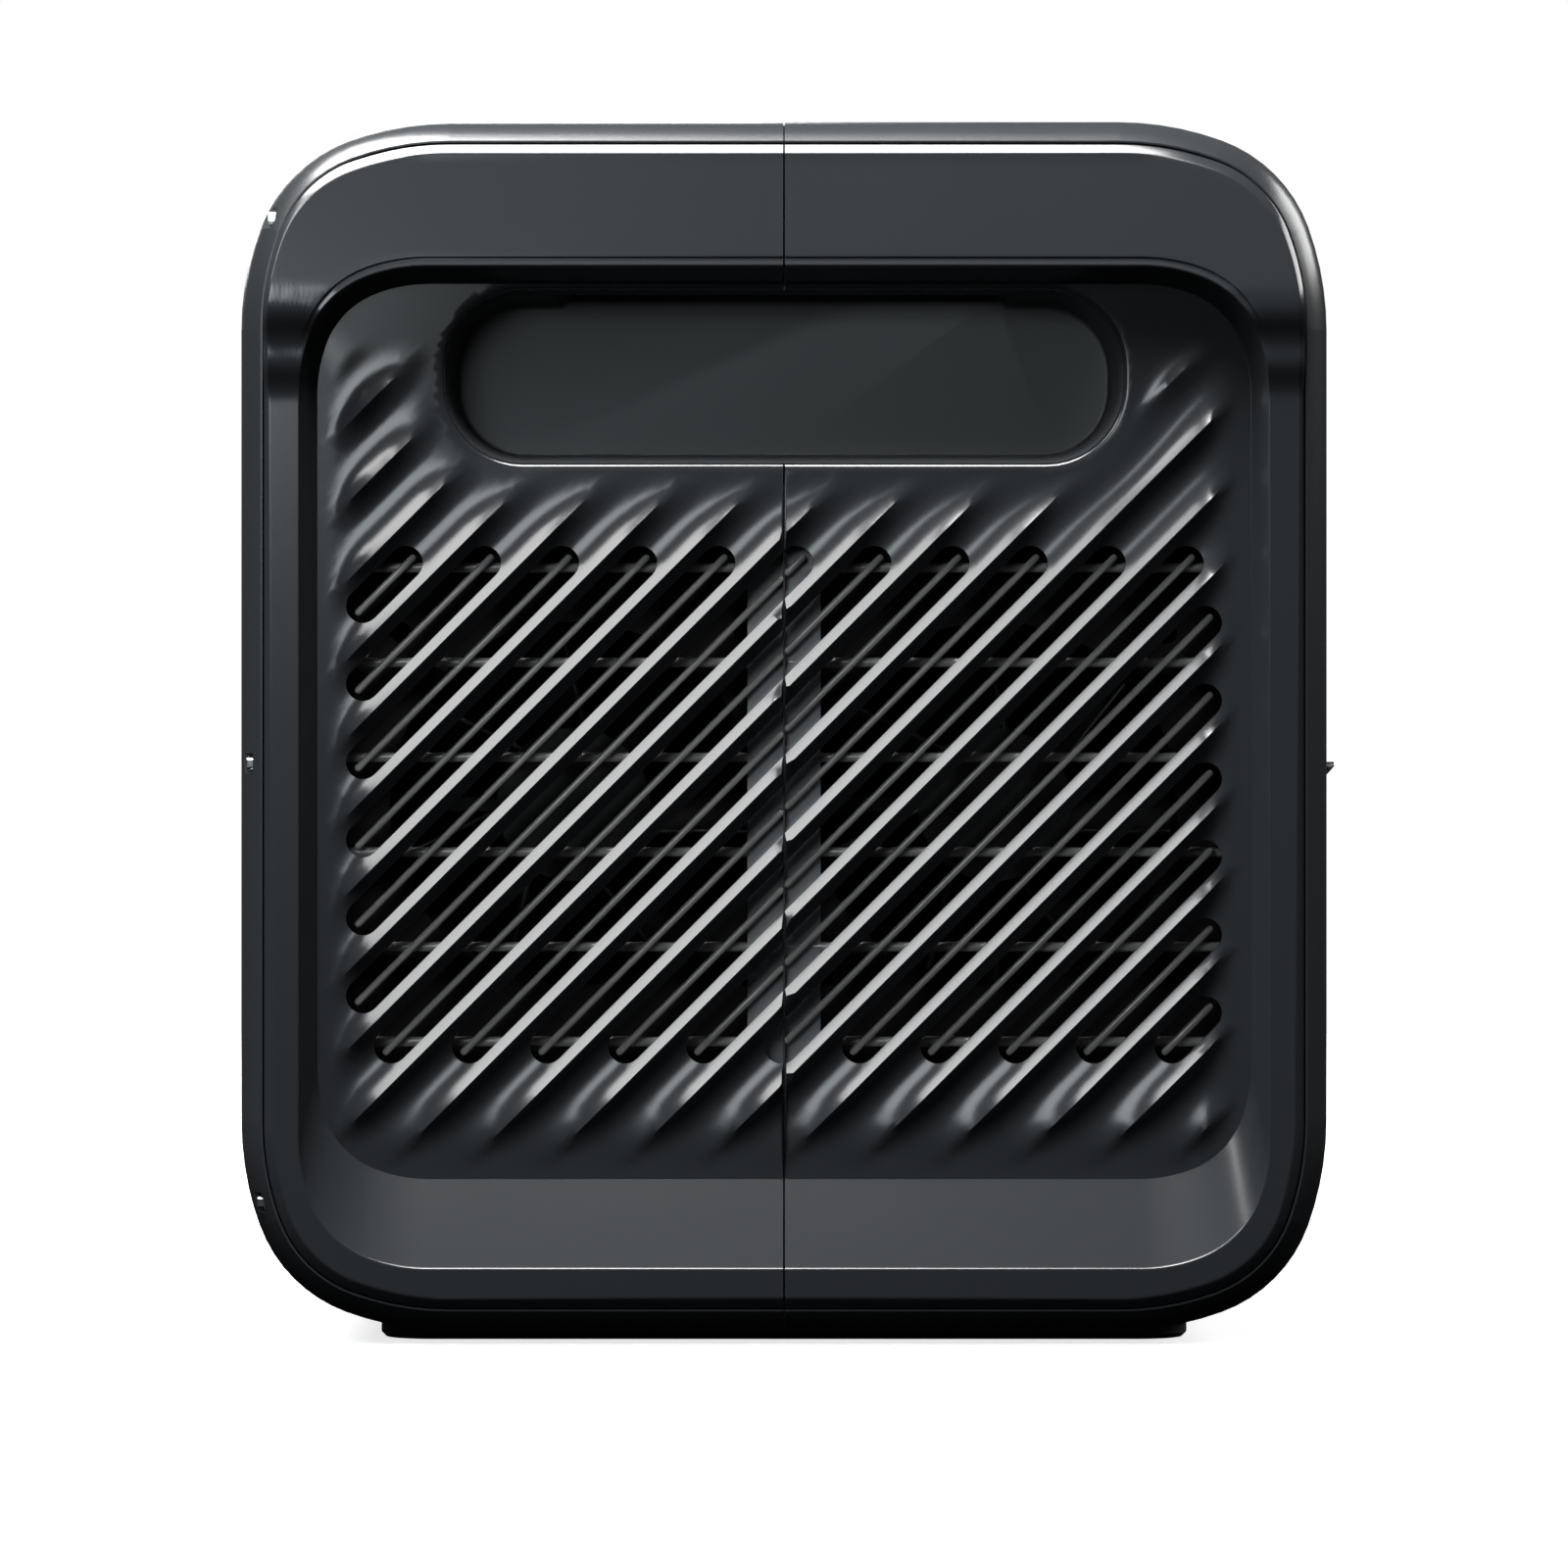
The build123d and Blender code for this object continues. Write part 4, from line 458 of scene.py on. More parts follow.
def field_loops(outline):
    """The half's outline, each slot's long round-ended outline, and four rings round the grip's mouth."""
    loops = [outline]
    turn = np.linspace(0, math.pi, 11)
    for a, b in zip(*slot_ends()):
        share = np.linspace(0, 1, max(2, int(np.linalg.norm(b - a) / RUN_STEP)))[:, None]
        run = a + (b - a) * share
        offset = np.array([-1, 1]) / ROOT2 * SLOT_WIDTH / 2
        cap = SLOT_WIDTH / 2 * np.stack([np.cos(turn - math.pi / 4), np.sin(turn - math.pi / 4)], -1)
        loops.append(np.concatenate([run - offset, b + cap[1:-1], (run + offset)[::-1], a - cap[1:-1]]))
    for grow in (0.0, 0.12, 0.35, GRIP_ROLL):
        loops.append(rounded_loop(GRIP_X, GRIP_Z, GRIP_ROUND, GRIP_MIDDLE, grow))
    return loops


def free_points(side):
    """Lattice points clear of seam, slots, grip and outline, and a column of points along the seam."""
    free = field_lattice()
    free = free[side * free[:, 0] > SEAM + SEAM_CLEAR]
    free = free[slot_distance(free) > SLOT_WIDTH / 2 + SLOT_CLEAR]
    free = free[grip_distance(free) > GRIP_CLEAR]
    free = free[inside(free, half_outline(**FIELD, grow=-EDGE_CLEAR) * [side, 1])]
    heights = np.arange(SEAM_LOW, SEAM_HIGH, LATTICE_STEP)
    beside_seam = np.stack([np.full_like(heights, side * (SEAM + BESIDE_SEAM)), heights], axis=-1)
    return np.concatenate([free, beside_seam])


# %% Triangulate one half of the field
def slotted_field(side):
    """Closed plate: triangulated face and back, joined by walls along every free edge."""
    outline = half_outline(**FIELD, grow=PLATE_OVERLAP) * [side, 1]
    points, edges, total = [], [], 0
    for loop in field_loops(outline):
        count = len(loop)
        edges += [(total + k, total + (k + 1) % count) for k in range(count)]
        points.append(loop)
        total += count
    points = np.concatenate([*points, free_points(side)])
    made = delaunay_2d_cdt([Vector(p) for p in points.tolist()], edges, [], 0, 1e-5)
    flat = np.array([tuple(v) for v in made[0]])
    triangles = np.array(made[2])
    centre = flat[triangles].mean(axis=1)
    kept = inside(centre, outline) & (slot_distance(centre) > SLOT_WIDTH / 2) & (grip_distance(centre) > 0)
    triangles = triangles[kept]
    used, triangles = np.unique(triangles, return_inverse=True)
    flat, triangles = flat[used], triangles.reshape(-1, 3)
    count = len(flat)
    face = np.stack([flat[:, 0], field_depth(flat, side), flat[:, 1]], axis=-1)
    back = face.copy()
    back[:, 1] = FIELD_BACK
    pairs = np.concatenate([triangles[:, [0, 1]], triangles[:, [1, 2]], triangles[:, [2, 0]]])
    _, first, repeats = np.unique(np.sort(pairs, axis=1), axis=0, return_index=True, return_counts=True)
    border = pairs[first[repeats == 1]]
    walls = np.stack([border[:, 1], border[:, 0], border[:, 0] + count, border[:, 1] + count], axis=-1)
    faces = triangles.tolist() + (triangles[:, ::-1] + count).tolist() + walls.tolist()
    return np.concatenate([face, back]), faces


field_halves = {side: slotted_field(side) for side in (1, -1)}
print("field triangles per half:", [len(f[1]) for f in field_halves.values()])


# %% [markdown]
# ## Both ends, four half panels
#
# Frame and field are one moulding, so they share a mesh. The other end is the same pair of mouldings,
# turned half round the upright axis: the front half there is the rear half here.

# %% Place the four half panels
ENDS = {"left": 1, "right": -1}


def to_frame(points, end):
    """(x, depth, z) of the left end to the shared frame; the right end is turned by half a turn."""
    placed = np.array(points, dtype=float)
    placed[:, 1] -= rim_plane
    placed[:, :2] *= ENDS[end]
    return placed


def half_panel(side):
    """Points and faces of one half: the framed grid with its two seam caps, then the slotted plate."""
    rows, columns = frame_grid.shape[:2]
    ring = frame_grid.reshape(-1, 3) * [side, 1, 1]
    faces = grid_faces(rows, columns, close_rows=True)
    faces += [[r * columns for r in range(rows)], [r * columns + columns - 1 for r in range(rows)]]
    plate, plate_faces = field_halves[side]
    faces += [[n + len(ring) for n in face] for face in plate_faces]
    return np.concatenate([ring, plate]), faces


for end, turn in ENDS.items():
    for half, side in (("front", 1), ("rear", -1)):
        points, faces = half_panel(side * turn)
        node = f"{end}_end_panel_{half}"
        panel = make_piece(f"{end}_slotted_end_{half}", to_frame(points, end), faces, panel_plastic)
        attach(panel, "case")
        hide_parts(node)
        print(panel.name, len(panel.data.polygons), "faces")

# %% [markdown]
# ## The carry grip
#
# Behind the opening sits a deep tray for four fingers. Its walls lean in a little, so that it leaves its
# mould, and along the top a pocket reaches up behind the ledge for the fingertips. The tray is a stack of
# sections at growing depth, inside and outside, closed at the bottom and at the mouth.

# %% Grip tray sections
POCKET_SHOULDER, POCKET_SIDE, POCKET_TOP, POCKET_CORNER = 49.2, 46.9, 31.95, 3.0


def grip_section(inset, pocket):
    """Loop of (x, z): rounded rectangle drawn in by inset; its top steps up into the pocket at pocket 1."""
    x, z, r = GRIP_X - inset, GRIP_Z - inset, max(GRIP_ROUND - inset, 1.0)
    cx, cz = x - r, z - r
    turn = np.linspace(0, math.pi / 2, 12)
    low = np.stack([cx + r * np.cos(-turn[::-1]), -cz + r * np.sin(-turn[::-1])], axis=-1)
    high = np.stack([cx + r * np.cos(turn), cz + r * np.sin(turn)], axis=-1)
    shoulder, wall, top = POCKET_SHOULDER - inset, POCKET_SIDE - inset, POCKET_TOP - inset
    corner = POCKET_CORNER
    bend = np.linspace(0, math.pi / 2, 7)
    lifted = np.concatenate(
        [
            [[shoulder + 2.5, z], [shoulder, z], [wall, z + 2.3]],
            np.stack([np.full(5, wall), np.linspace(z + 3, top - corner - 0.5, 5)], axis=-1),
            np.stack([wall - corner + corner * np.cos(bend), top - corner + corner * np.sin(bend)], -1),
            np.stack([np.linspace(wall - corner - 2, 2.0, 14), np.full(14, top)], axis=-1),
        ]
    )
    level = np.stack([np.linspace(shoulder + 2.5, 2.0, len(lifted)), np.full(len(lifted), z)], axis=-1)
    right = np.concatenate([low, high, lifted * pocket + level * (1 - pocket)])
    floor = np.stack([np.linspace(-cx + 4, cx - 4, 15), np.full(15, -z)], axis=-1)
    return np.concatenate([floor, right, right[::-1] * [-1, 1]]) + [0, GRIP_MIDDLE]


TRAY_WALL = 1.8
# Sections as (depth, inset, pocket), inside from the mouth to the rounded floor, then outside.
inner = [(7.85, 0.12, 0), (8.3, 0.18, 0), (10.4, 0.45, 0), (12.45, 0.72, 0), (12.5, 0.72, 1)]
inner += [(15.0, 1.05, 1), (18.0, 1.45, 1), (21.0, 1.85, 1), (24.2, 2.25, 1)]
inner += [(25 - 0.8 * (1 - math.sin(t)), 2.25 + 0.8 * (1 - math.cos(t)), 1) for t in (0.4, 0.8, 1.2, 1.57)]
outer = [(9.6, 0.4 - TRAY_WALL, 0), (10.65, 0.5 - TRAY_WALL, 0), (10.7, 0.5 - TRAY_WALL, 1)]
outer += [(18.0, 1.45 - TRAY_WALL, 1), (26.8, 2.5 - TRAY_WALL, 1)]


def grip_tray():
    """Points and faces: outer sections from the floor up, inner ones down again, and two flat floors."""
    stack = outer[::-1] + inner
    rings = []
    for depth, inset, pocket in stack:
        loop = grip_section(inset, pocket)
        rings.append(np.stack([loop[:, 0], np.full(len(loop), depth), loop[:, 1]], axis=-1))
    rings = np.array(rings)
    rows, columns = rings.shape[:2]
    faces = grid_faces(rows, columns, close_columns=True)
    faces += [list(range(columns)), list(range((rows - 1) * columns, rows * columns))]
    return rings.reshape(-1, 3), faces


for end in ENDS:
    points, faces = grip_tray()
    tray = make_piece(f"{end}_carry_grip", to_frame(points, end), faces, grip_plastic)
    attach(tray, "case")
    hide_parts(f"{end}_grip_tray")
    print(tray.name, len(faces), "faces")

# %% [markdown]
# ## The finger guard
#
# Behind the slots lies a guard that keeps fingers out of the fans: a slim rod down the middle of each
# slot, level bars behind the rods, a border, and a backing strip on each side of the seam. Rods are
# round-fronted, so each one carries a single thin highlight. Rods, bars, border and strips are coloured
# mid grey, far lighter than black plastic: painted light for what little light reaches them in the slots.
# All of them are prisms between two ends, and one function makes them all.

# %% Guard pieces
GUARD_FRONT = rim_plane + guard_low[1]
ROD_WIDTH, ROD_DEPTH, ROD_SHORT = 1.5, 2.4, 2.4
BAR_HEIGHT, BAR_DEPTH, BAR_ROWS, BAR_PITCH = 2.0, 3.2, 6, 19.7
STRIP, STRIP_THICK = 7.6, 1.5
BORDER, SHORTEST_ROD = 4.5, 3.0
BAR_INSET, BORDER_INSET, STRIP_INSET = 2, 4, 3
ROD_ROUND, BAR_ROUND, STRIP_ROUND = 0.6, 0.7, 0.15
END_STEPS = [(0.0, 0.55), (0.25, 0.85), (0.6, 1.0)]  # distance from a bar's end, share of its width


def prism(start, stop, width, front, depth, round_front):
    """Bar from start to stop: a section of that width with a rounded front, its ends drawn in."""
    start, stop = np.asarray(start, float), np.asarray(stop, float)
    run = (stop - start) / np.linalg.norm(stop - start)
    across = np.array([-run[1], run[0]])
    turn = np.linspace(0, math.pi, 9)
    offset = np.concatenate([width / 2 * np.cos(turn), [-width / 2, width / 2]])
    reach = np.concatenate([front + round_front * (1 - np.sin(turn)), [front + depth] * 2])
    length = np.linalg.norm(stop - start)
    stations = END_STEPS + [(length - s, k) for s, k in END_STEPS[::-1]]
    rings = []
    for along, share in stations:
        plane = start + run * along + across * offset[:, None] * share
        rings.append(np.stack([plane[:, 0], reach + (1 - share) * round_front, plane[:, 1]], axis=-1))
    rings = np.array(rings)
    rows, columns = rings.shape[:2]
    faces = grid_faces(rows, columns, close_columns=True)
    faces += [list(range(columns)), list(range((rows - 1) * columns, rows * columns))]
    return rings.reshape(-1, 3), faces


def join_parts(parts):
    """Several (points, faces) as one, with the faces renumbered."""
    starts = np.cumsum([0] + [len(p) for p, _ in parts[:-1]])
    faces = [[n + int(s) for n in face] for (_, group), s in zip(parts, starts) for face in group]
    return np.concatenate([p for p, _ in parts]), faces


def guard_rods(side):
    """Rods down the slots of one side, cut at the seam, with the level bars and the border behind them."""
    parts = []
    edge, low, high = guard_high[0], guard_low[2], guard_high[2]
    for a, b in zip(*slot_ends()):
        run = (b - a) / np.linalg.norm(b - a)
        a, b = a - run * (SLOT_WIDTH - ROD_SHORT) / 2, b + run * (SLOT_WIDTH - ROD_SHORT) / 2
        if side < 0:
            a, b = b, a
        if side * b[0] < SHORTEST_ROD:
            continue
        if side * a[0] < SEAM:
            a = b + (a - b) * (side * b[0] - SEAM) / (side * b[0] - side * a[0])
        parts.append(prism(a, b, ROD_WIDTH, GUARD_FRONT, ROD_DEPTH, ROD_ROUND))
    bars_front = GUARD_FRONT + ROD_DEPTH
    for row in range(BAR_ROWS):
        z = SLOT_MIDDLE + (row - (BAR_ROWS - 1) / 2) * BAR_PITCH
        ends = [(side * SEAM, z), (side * (edge - BAR_INSET), z)]
        parts.append(prism(*ends, BAR_HEIGHT, bars_front, BAR_DEPTH, BAR_ROUND))
    thick = guard_high[1] + rim_plane - GUARD_FRONT
    for z in (low + BORDER / 2, high - BORDER / 2):
        parts.append(prism((side * SEAM, z), (side * edge, z), BORDER, GUARD_FRONT, thick, ROD_ROUND))
    x = side * (edge - BORDER / 2)
    ends = [(x, low + BORDER_INSET), (x, high - BORDER_INSET)]
    parts.append(prism(*ends, BORDER, GUARD_FRONT, thick, ROD_ROUND))
    return join_parts(parts)


def guard_strip(side):
    """Backing strip beside the seam, behind the rods."""
    x = side * (SEAM + STRIP) / 2
    ends = [(x, guard_low[2] + STRIP_INSET), (x, guard_high[2] - STRIP_INSET)]
    return prism(*ends, STRIP - SEAM, GUARD_FRONT + ROD_DEPTH, STRIP_THICK, STRIP_ROUND)


for end, turn in ENDS.items():
    for half, side in (("front", 1), ("rear", -1)):
        points, faces = guard_rods(side * turn)
        rods = make_piece(f"{end}_guard_rods_{half}", to_frame(points, end), faces, guard_painted_highlight)
        points, faces = guard_strip(side * turn)
        strip = make_piece(f"{end}_guard_strip_{half}", to_frame(points, end), faces, strip_painted_light)
        for piece in (rods, strip):
            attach(piece, "case")
        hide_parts(f"{end}_fan_guard_{half}")
        print(rods.name, len(rods.data.polygons), "faces")

# %% [markdown]
# ## Seam gasket and painted-shade sheets
#
# Two things keep daylight out of the case. A thin rubber gasket lies in the seam between the halves, just
# below the surface, so the seam reads as a dark line. Behind each pair of fans lies a near-black pleated
# foam sheet: painted shade, put there so the slots look deep and black. The pleats are a sine wave along
# the sheet.

# %% Gasket and painted-shade sheets
GASKET, GASKET_ROUND, GASKET_BELOW, GASKET_HIGH, GASKET_DEEP = 0.36, 0.08, 0.6, 3, 6.7
BELOW_GRIP, ABOVE_GRIP = 22, 36  # clear of the grip tray and its pocket, from the grip's middle
case_low, case_high = shell_low[2], shell_high[2]
gasket_front = GUARD_FRONT + 0.1
gasket_long = 2 * (rim_plane - gasket_front)
parts = []
top_strip = (case_high - GASKET_HIGH, case_high - GASKET_BELOW)
bottom_strip = (case_low + GASKET_BELOW, case_low + GASKET_HIGH)
for low, high in (top_strip, bottom_strip):
    parts.append(prism((0, low), (0, high), GASKET, gasket_front, gasket_long, GASKET_ROUND))
below_grip = (case_low + GASKET_HIGH, GRIP_MIDDLE - BELOW_GRIP)
above_grip = (GRIP_MIDDLE + ABOVE_GRIP, case_high - GASKET_HIGH)
for low, high in (below_grip, above_grip):
    for turn in (1, -1):
        points, faces = prism((0, low), (0, high), GASKET, gasket_front, GASKET_DEEP, GASKET_ROUND)
        if turn < 0:
            points[:, 1] = 2 * rim_plane - points[:, 1]
        parts.append((points, faces))
points, faces = join_parts(parts)
gasket = make_piece("seam_gasket", to_frame(points, "left"), faces, rubber)
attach(gasket, "case")

# Near-black foam that hardly reflects: painted shade for the depths of the case behind the fans.
foam = finish("painted_shade_foam", (0.002, 0.002, 0.002), 0.95, grain=0.7, bump=0.6, Specular_IOR_Level=0.1)
fans_low, fans_high = box_mm("left_fan_frames")
FOAM_GAP, FOAM_INSET, FOAM_THICK, PLEAT, PLEAT_HEIGHT = 0.15, 1, 0.6, 5.0, 0.5


def pleated_sheet(front, thick, pleat, height):
    """Closed sheet over both fans, both faces waved by height * (1 + sin(2 pi x / pleat)) / 2."""
    x = np.arange(fans_low[0] + FOAM_INSET, fans_high[0] - FOAM_INSET, pleat / 8)
    z = np.linspace(fans_low[2] + FOAM_INSET, fans_high[2] - FOAM_INSET, 24)
    grid_x, grid_z = np.meshgrid(x, z, indexing="ij")
    wave = front + height / 2 * (1 + np.sin(2 * math.pi * grid_x / pleat))
    loop_x = np.concatenate([grid_x, grid_x], axis=1)
    loop_z = np.concatenate([grid_z, grid_z[:, ::-1]], axis=1)
    depth = np.concatenate([wave, wave[:, ::-1] + thick], axis=1)
    rows, columns = loop_x.shape
    faces = grid_faces(rows, columns, close_columns=True)
    faces += [list(range(columns)), list(range((rows - 1) * columns, rows * columns))]
    return np.stack([loop_x, depth, loop_z], axis=-1).reshape(-1, 3), faces


for end in ENDS:
    behind_fans = rim_plane + fans_high[1] + FOAM_GAP
    points, faces = pleated_sheet(behind_fans, FOAM_THICK, PLEAT, PLEAT_HEIGHT)
    sheet = make_piece(f"{end}_shade_sheet", to_frame(points, end), faces, foam)
    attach(sheet, "case")
    print(sheet.name, len(faces), "faces")

# %% [markdown]
# ## Finishes for the parts that keep their CAD shape
#
# The other parts are right as they come, and only need their material. Plastics differ by gloss and grain,
# metals by colour and by how finely they were brushed or plated, and the battery cells wear a blue sleeve.
# Each finish lists the parts that take it.

# %% More finishes
FINISHES = {
    "fascia_plastic": finish("fascia_plastic", (0.012, 0.013, 0.015), 0.24, grain=0.3, bump=0.05),
    "door_plastic": finish("door_plastic", (0.034, 0.037, 0.041), 0.42),
    "button_plastic": finish("button_plastic", (0.045, 0.048, 0.052), 0.38, grain=0.3),
    "power_orange": finish("power_orange", (0.62, 0.15, 0.02), 0.34, grain=0.3, bump=0.08),
    "smoked_glass": finish(
        "smoked_glass",
        (0.004, 0.005, 0.006),
        0.07,
        grain=3.0,
        bump=0.01,
        Coat_Weight=1.0,
        Coat_Roughness=0.03,
    ),
    "display_face": finish("display_face", (0.010, 0.014, 0.016), 0.2, grain=0.3),
    "lamp_diffuser": finish("lamp_diffuser", (0.72, 0.72, 0.68), 0.32, grain=0.6, Subsurface_Weight=0.3),
    "led_phosphor": finish("led_phosphor", (0.85, 0.70, 0.25), 0.45, grain=0.2),
    "circuit_board": finish("circuit_board", (0.010, 0.085, 0.045), 0.38, grain=1.2, tint=0.25),
    "zinc_steel": finish("zinc_steel", (0.60, 0.61, 0.62), 0.32, grain=0.25, metallic=1.0),
    # Fan brackets are black steel, darkened to near zero: partly their own colour, partly painted shade for
    # the depths of the slots.
    "black_steel_and_shade": finish("black_steel_and_shade", (0.002, 0.002, 0.002), 0.6, grain=0.4, Specular_IOR_Level=0.2),
    "nickel": finish("nickel", (0.72, 0.70, 0.66), 0.24, grain=0.2, bump=0.05, metallic=1.0),
    "socket_plastic": finish("socket_plastic", (0.016, 0.016, 0.018), 0.3, grain=0.3),
    "outlet_plastic": finish("outlet_plastic", (0.030, 0.032, 0.036), 0.3, grain=0.3),
    "brass": finish("brass", (0.78, 0.56, 0.25), 0.28, grain=0.2, metallic=1.0),
    "cell_sleeve": finish("cell_sleeve", (0.020, 0.105, 0.300), 0.36, grain=1.5, tint=0.12),
    "tray_plastic": finish("tray_plastic", (0.020, 0.021, 0.023), 0.5, grain=0.6),
    "copper_bar": finish("copper_bar", (0.80, 0.36, 0.20), 0.3, grain=0.3, metallic=1.0),
    "aluminium": finish("aluminium", (0.68, 0.69, 0.70), 0.38, grain=0.3, bump=0.2, metallic=1.0),
    "varnished_core": finish("varnished_core", (0.20, 0.085, 0.022), 0.42, grain=0.9, tint=0.2),
    "capacitor_sleeve": finish("capacitor_sleeve", (0.020, 0.022, 0.030), 0.28, grain=0.4),
    # Fan frames and rotors are black plastic made near black: partly their own colour, partly painted shade
    # for the depths of the slots.
    "fan_plastic_and_shade": finish("fan_plastic_and_shade", (0.003, 0.003, 0.003), 0.5, grain=0.5, Specular_IOR_Level=0.3),
    "rotor_plastic_and_shade": finish("rotor_plastic_and_shade", (0.004, 0.004, 0.004), 0.4, grain=0.5, Specular_IOR_Level=0.3),
    "spring_steel": finish("spring_steel", (0.80, 0.80, 0.80), 0.18, grain=0.2, metallic=1.0),
}
PARTS = {
    "fascia_plastic": ["front_fascia", "rear_port_plate"],
    "door_plastic": ["front_port_door", "rear_port_door"],
    "button_plastic": ["dc_button", "usb_button", "ac_button", "lamp_button"],
    "power_orange": ["power_button"],
    "smoked_glass": ["screen_window"],
    "display_face": ["display_module"],
    "lamp_diffuser": ["lamp_lens"],
    "led_phosphor": ["lamp_leds"],
    "circuit_board": ["control_board", "usb_board", "inverter_board", "battery_monitor_board"],
    "zinc_steel": ["housing_screws", "panel_screws", "power_deck"],
    "black_steel_and_shade": ["fan_brackets"],
    "nickel": ["usb_ports"],
    "socket_plastic": ["car_socket", "dc_jacks", "solar_inlet", "ac_inlet", "breaker_body"],
    "outlet_plastic": ["ac_outlets"],
    "brass": ["outlet_contacts"],
    "cell_sleeve": ["battery_cells"],
    "tray_plastic": ["battery_tray", "battery_cover", "front_port_tray", "rear_port_tray"],
    "copper_bar": ["cell_busbars"],
    "aluminium": ["heat_sinks"],
    "varnished_core": ["transformers"],
    "capacitor_sleeve": ["capacitors"],
    "fan_plastic_and_shade": ["left_fan_frames", "right_fan_frames"],
    "rotor_plastic_and_shade": [n for n in sorted(nodes) if n.endswith("rotor")],
    "spring_steel": ["rim_clips"],
}
wearing = {part: FINISHES[name] for name, group in PARTS.items() for part in group}
wearing.update({"front_housing": shell_plastic, "rear_housing": shell_plastic})
wearing.update({"left_foot": rubber, "right_foot": rubber, "breaker_button": FINISHES["power_orange"]})
wearing.update({n: panel_plastic for n in nodes if "end_panel" in n})
wearing.update({n: grip_plastic for n in nodes if n.endswith("grip_tray")})
wearing.update({n: guard_painted_highlight for n in nodes if "fan_guard" in n})
for part, material in wearing.items():
    mesh = nodes[part].data
    mesh.materials.clear()
    mesh.materials.append(material)
print("parts with a finish:", len(wearing), "of", len(nodes), sorted(set(nodes) - set(wearing)))

# %% [markdown]
# ## Readout and key marks
#
# The screen shows a row of charge bars and three level lines, and each key carries the plain mark of what
# it switches: a broken ring for power, a line over dashes for direct current, a wave for alternating
# current, a plug's outline, and a lamp with rays. All are strokes: a path in the plane of the front, given
# a width on both sides and a hair of thickness, so one ribbon function draws them.

# %% Strokes on the front
MARK_THICK, MARK_SUNK = 0.12, 0.05
readout_glow = finish(
    "readout_glow",
    (0.30, 0.62, 0.75),
    0.4,
    grain=0.4,
    Emission_Color=(0.35, 0.80, 1.0, 1.0),
    Emission_Strength=0.9,
)
mark_paint = finish("mark_paint", (0.62, 0.63, 0.64), 0.45, grain=0.3)


def stroke(path, width, face_x):
    """Ribbon along a path of (y, z): half a width to each side, from just below the face to above it."""
    path = np.asarray(path, float)
    run = np.gradient(path, axis=0)
    run /= np.linalg.norm(run, axis=1)[:, None]
    side = np.stack([-run[:, 1], run[:, 0]], axis=-1) * width / 2
    left, right = path + side, path - side
    low, high = face_x - MARK_SUNK, face_x + MARK_THICK
    layers = [(left, low), (left, high), (right, high), (right, low)]
    rings = np.array([np.column_stack([np.full(len(p), x), p]) for p, x in layers]).transpose(1, 0, 2)
    rows = len(path)
    faces = grid_faces(rows, 4, close_columns=True)
    faces += [[0, 1, 2, 3], [4 * rows - 4, 4 * rows - 3, 4 * rows - 2, 4 * rows - 1]]
    return rings.reshape(-1, 3), faces


def circle(radius, start, stop, count=33):
    """Part of a circle about the middle, from start to stop in degrees."""
    turn = np.radians(np.linspace(start, stop, count))
    return np.stack([radius * np.cos(turn), radius * np.sin(turn)], axis=-1)


def line(y0, z0, y1, z1):
    """Straight path."""
    return np.linspace((y0, z0), (y1, z1), 3)


def plug_outline():
    """The cord, then the plug's body: its back, two sides and face."""
    cord, back = line(-2.4, 0, 0.2, 0), line(0.2, -1.3, 0.2, 1.3)
    sides = [line(0.2, 1.3, 2.6, 1.3), line(0.2, -1.3, 2.6, -1.3)]
    return [cord, back, *sides, line(2.6, 1.55, 2.6, -1.55)]


def lamp_rays():
    """Eight strokes pointing outwards: (r cos a, r sin a), with a at every eighth of a turn."""
    ray = np.stack([np.linspace(1.9, 2.9, 3)] * 2, axis=-1)
    return [ray * [math.cos(a), math.sin(a)] for a in np.arange(8) * math.pi / 4]


WAVE_LONG, WAVE_HIGH = 3.2, 1.3
wave_y = np.linspace(-WAVE_LONG, WAVE_LONG, 25)
wave = np.stack([wave_y, WAVE_HIGH * np.sin(wave_y * math.pi / WAVE_LONG)], axis=-1)
dashes = [line(y, -0.9, y + 1.4, -0.9) for y in (-3, -0.7, 1.6)]
MARKS = {
    "power_button": ("power_key", 0.9, [circle(4.0, 125, 415), line(0, 1.4, 0, 5.2)]),
    "dc_button": ("dc_key", 0.6, [line(-3, 0.9, 3, 0.9)] + dashes),
    "ac_button": ("ac_key", 0.6, [wave]),
    "usb_button": ("usb_key", 0.5, plug_outline()),
    "lamp_button": ("lamp_key", 0.45, [circle(1.2, 3, 357)] + lamp_rays()),
}
for node, (body, width, paths) in MARKS.items():
    low, high = box_mm(node)
    middle = (low[1:] + high[1:]) / 2
    points, faces = join_parts([stroke(path + middle, width, high[0]) for path in paths])
    mark = make_piece(f"{node}_mark", points, faces, mark_paint)
    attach(mark, body)
    print(mark.name, "on", body)

CHARGE_WIDTH, LEVEL_WIDTH = 4.6, 1.6
low, high = box_mm("screen_window")
middle = (low[1:] + high[1:]) / 2
charge = [line(y, -7, y, 7) + middle for y in np.arange(5) * 7.0 - 40]
levels = [line(6, z, 6 + reach, z) + middle for z, reach in ((6, 34), (0, 22), (-6, 28))]
parts = [stroke(path, CHARGE_WIDTH, high[0]) for path in charge]
parts += [stroke(path, LEVEL_WIDTH, high[0]) for path in levels]
points, faces = join_parts(parts)
readout = make_piece("screen_readout", points, faces, readout_glow)
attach(readout, "case")
print("readout strokes:", len(parts))

# %% [markdown]
# ## Light
#
# A dark satin object is drawn by its reflections, so the light is planned as what the plastic sees. A wide
# softbox hangs over the near end and a little to the left: it draws the bright line along the top edge and
# the light sides of the ridges. A small, faintly blue box in front lifts the field and the grip, one at the
# left lights that side, and two more light the front and the far end, which the viewer sees only when
# walking round. What lies straight ahead stays dim, so faces turned to the viewer are dark, and there is
# almost nothing below, so the underside falls away into black.

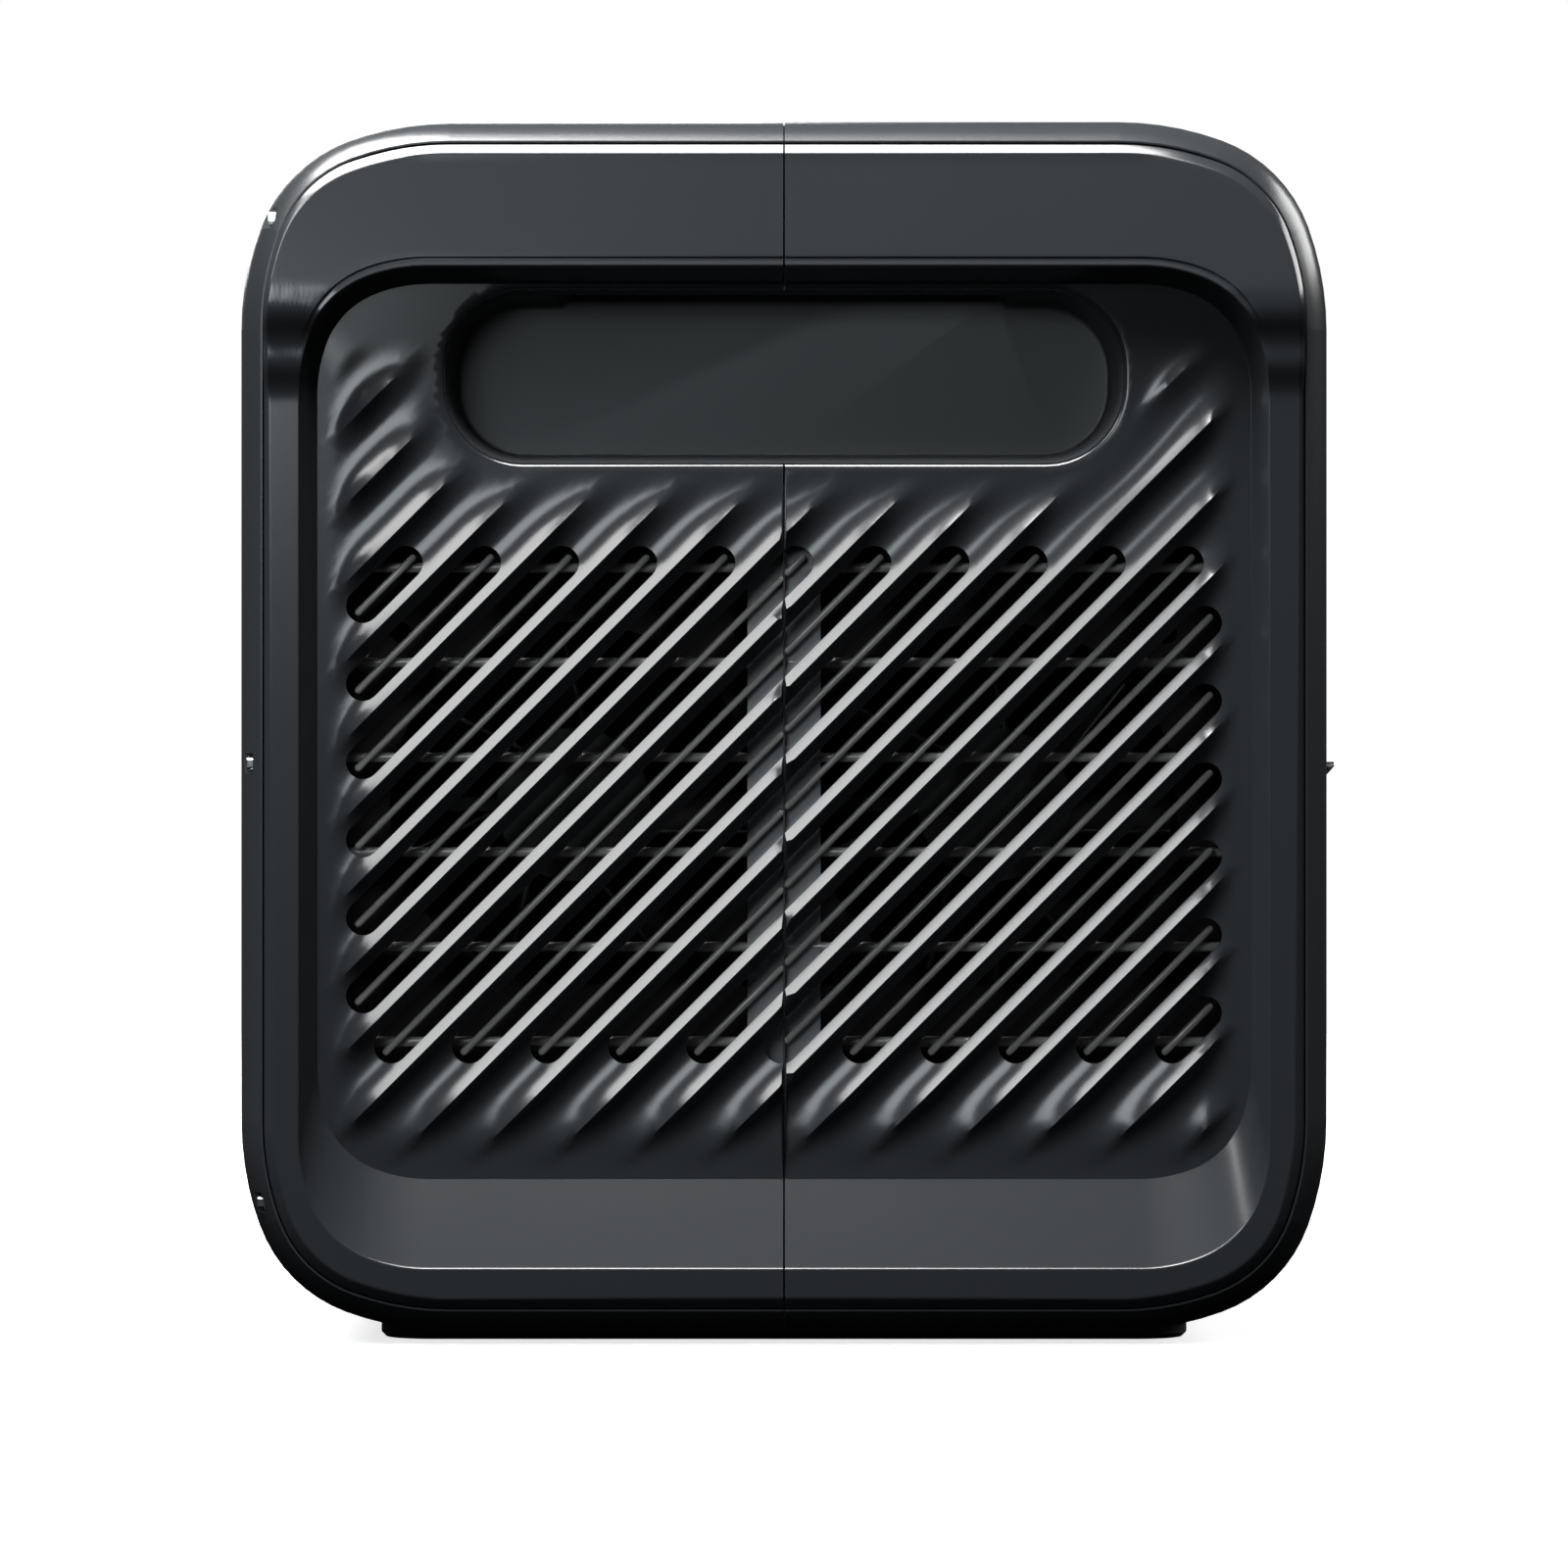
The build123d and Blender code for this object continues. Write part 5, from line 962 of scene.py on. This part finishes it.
# %% Softboxes and surroundings
WHITE, PALE_BLUE = (1.0, 1.0, 1.0), (0.88, 0.96, 1.0)
SOFTBOXES = [
    # name, place, width, height, watts, colour
    ("overhead_box", (-0.30, -0.44, 1.3), 1.3, 0.6, 104.0, WHITE),
    ("left_box", (-0.98, -0.6, 1.0), 0.6, 0.5, 12.0, WHITE),
    ("front_fill", (-0.30, -1.0, 0.38), 0.3, 0.3, 2.1, PALE_BLUE),
    ("fascia_fill", (1.2, 0.3, 0.8), 0.8, 0.6, 14.0, WHITE),
    ("far_fill", (-0.4, 1.3, 0.7), 0.8, 0.6, 12.0, WHITE),
]
near_end = Vector((0.0, end_face, case_middle * MM))
for name, place, width, height, watts, colour in SOFTBOXES:
    light = bpy.data.lights.new(name, "AREA")
    light.shape = "RECTANGLE"
    light.size, light.size_y, light.energy = width, height, watts
    light.color = colour
    holder = bpy.data.objects.new(name, light)
    scene.collection.objects.link(holder)
    holder.location = place
    holder.rotation_euler = (near_end - Vector(place)).to_track_quat("-Z", "Y").to_euler()

world = bpy.data.worlds.new("studio")
scene.world = world
world.use_nodes = True
sky = world.node_tree
sky.nodes.clear()


def sky_node(kind, **inputs):
    """Node of the surroundings with the given input values."""
    node = sky.nodes.new(kind)
    for name, value in inputs.items():
        node.inputs[name.replace("_", " ")].default_value = value
    return node


direction = sky_node("ShaderNodeTexCoord")
split = sky_node("ShaderNodeSeparateXYZ")
height_ramp = sky_node("ShaderNodeValToRGB")
SKY_STOPS = [(0.42, (0.015, 0.015, 0.017, 1)), (0.95, (0.9, 0.92, 0.95, 1))]  # share of height, colour
for element, (position, colour) in zip(height_ramp.color_ramp.elements, SKY_STOPS):
    element.position = position
    element.color = colour
to_share = sky_node("ShaderNodeMapRange", From_Min=-1.0, From_Max=1.0)
surroundings = sky_node("ShaderNodeBackground", Strength=0.20)
backdrop = sky_node("ShaderNodeBackground", Color=(1, 1, 1, 1), Strength=1.0)
ray_kind = sky_node("ShaderNodeLightPath")
mix = sky_node("ShaderNodeMixShader")
output = sky_node("ShaderNodeOutputWorld")
sky.links.new(direction.outputs["Generated"], split.inputs["Vector"])
sky.links.new(split.outputs["Z"], to_share.inputs["Value"])
sky.links.new(to_share.outputs["Result"], height_ramp.inputs["Fac"])
sky.links.new(height_ramp.outputs["Color"], surroundings.inputs["Color"])
sky.links.new(ray_kind.outputs["Is Camera Ray"], mix.inputs["Fac"])
sky.links.new(surroundings.outputs["Background"], mix.inputs[1])
sky.links.new(backdrop.outputs["Background"], mix.inputs[2])
sky.links.new(mix.outputs["Shader"], output.inputs["Surface"])

# %% [markdown]
# ## Floor
#
# A plain pale floor carries the object's shadow. It is left out of reflections and bounced light, so that
# it doesn't brighten the underside, which a real studio would shield with black cards.

# %% Floor
FLOOR_HALF = 1.7
corners = np.array([[-1, -1], [1, -1], [1, 1], [-1, 1]]) * FLOOR_HALF
floor_mesh = bpy.data.meshes.new("floor")
floor_mesh.from_pydata([(x, y, 0.0) for x, y in corners.tolist()], [], [(0, 1, 2, 3)])
floor = bpy.data.objects.new("floor", floor_mesh)
scene.collection.objects.link(floor)
floor_paint = finish(
    "pale_floor",
    (0.60, 0.60, 0.60),
    0.9,
    grain=2.0,
    tint=0.02,
    Emission_Color=(1, 1, 1, 1),
    Emission_Strength=0.75,
)
floor_mesh.materials.append(floor_paint)
floor.visible_diffuse = False
floor.visible_glossy = False
print("floor:", 2 * FLOOR_HALF, "m wide")
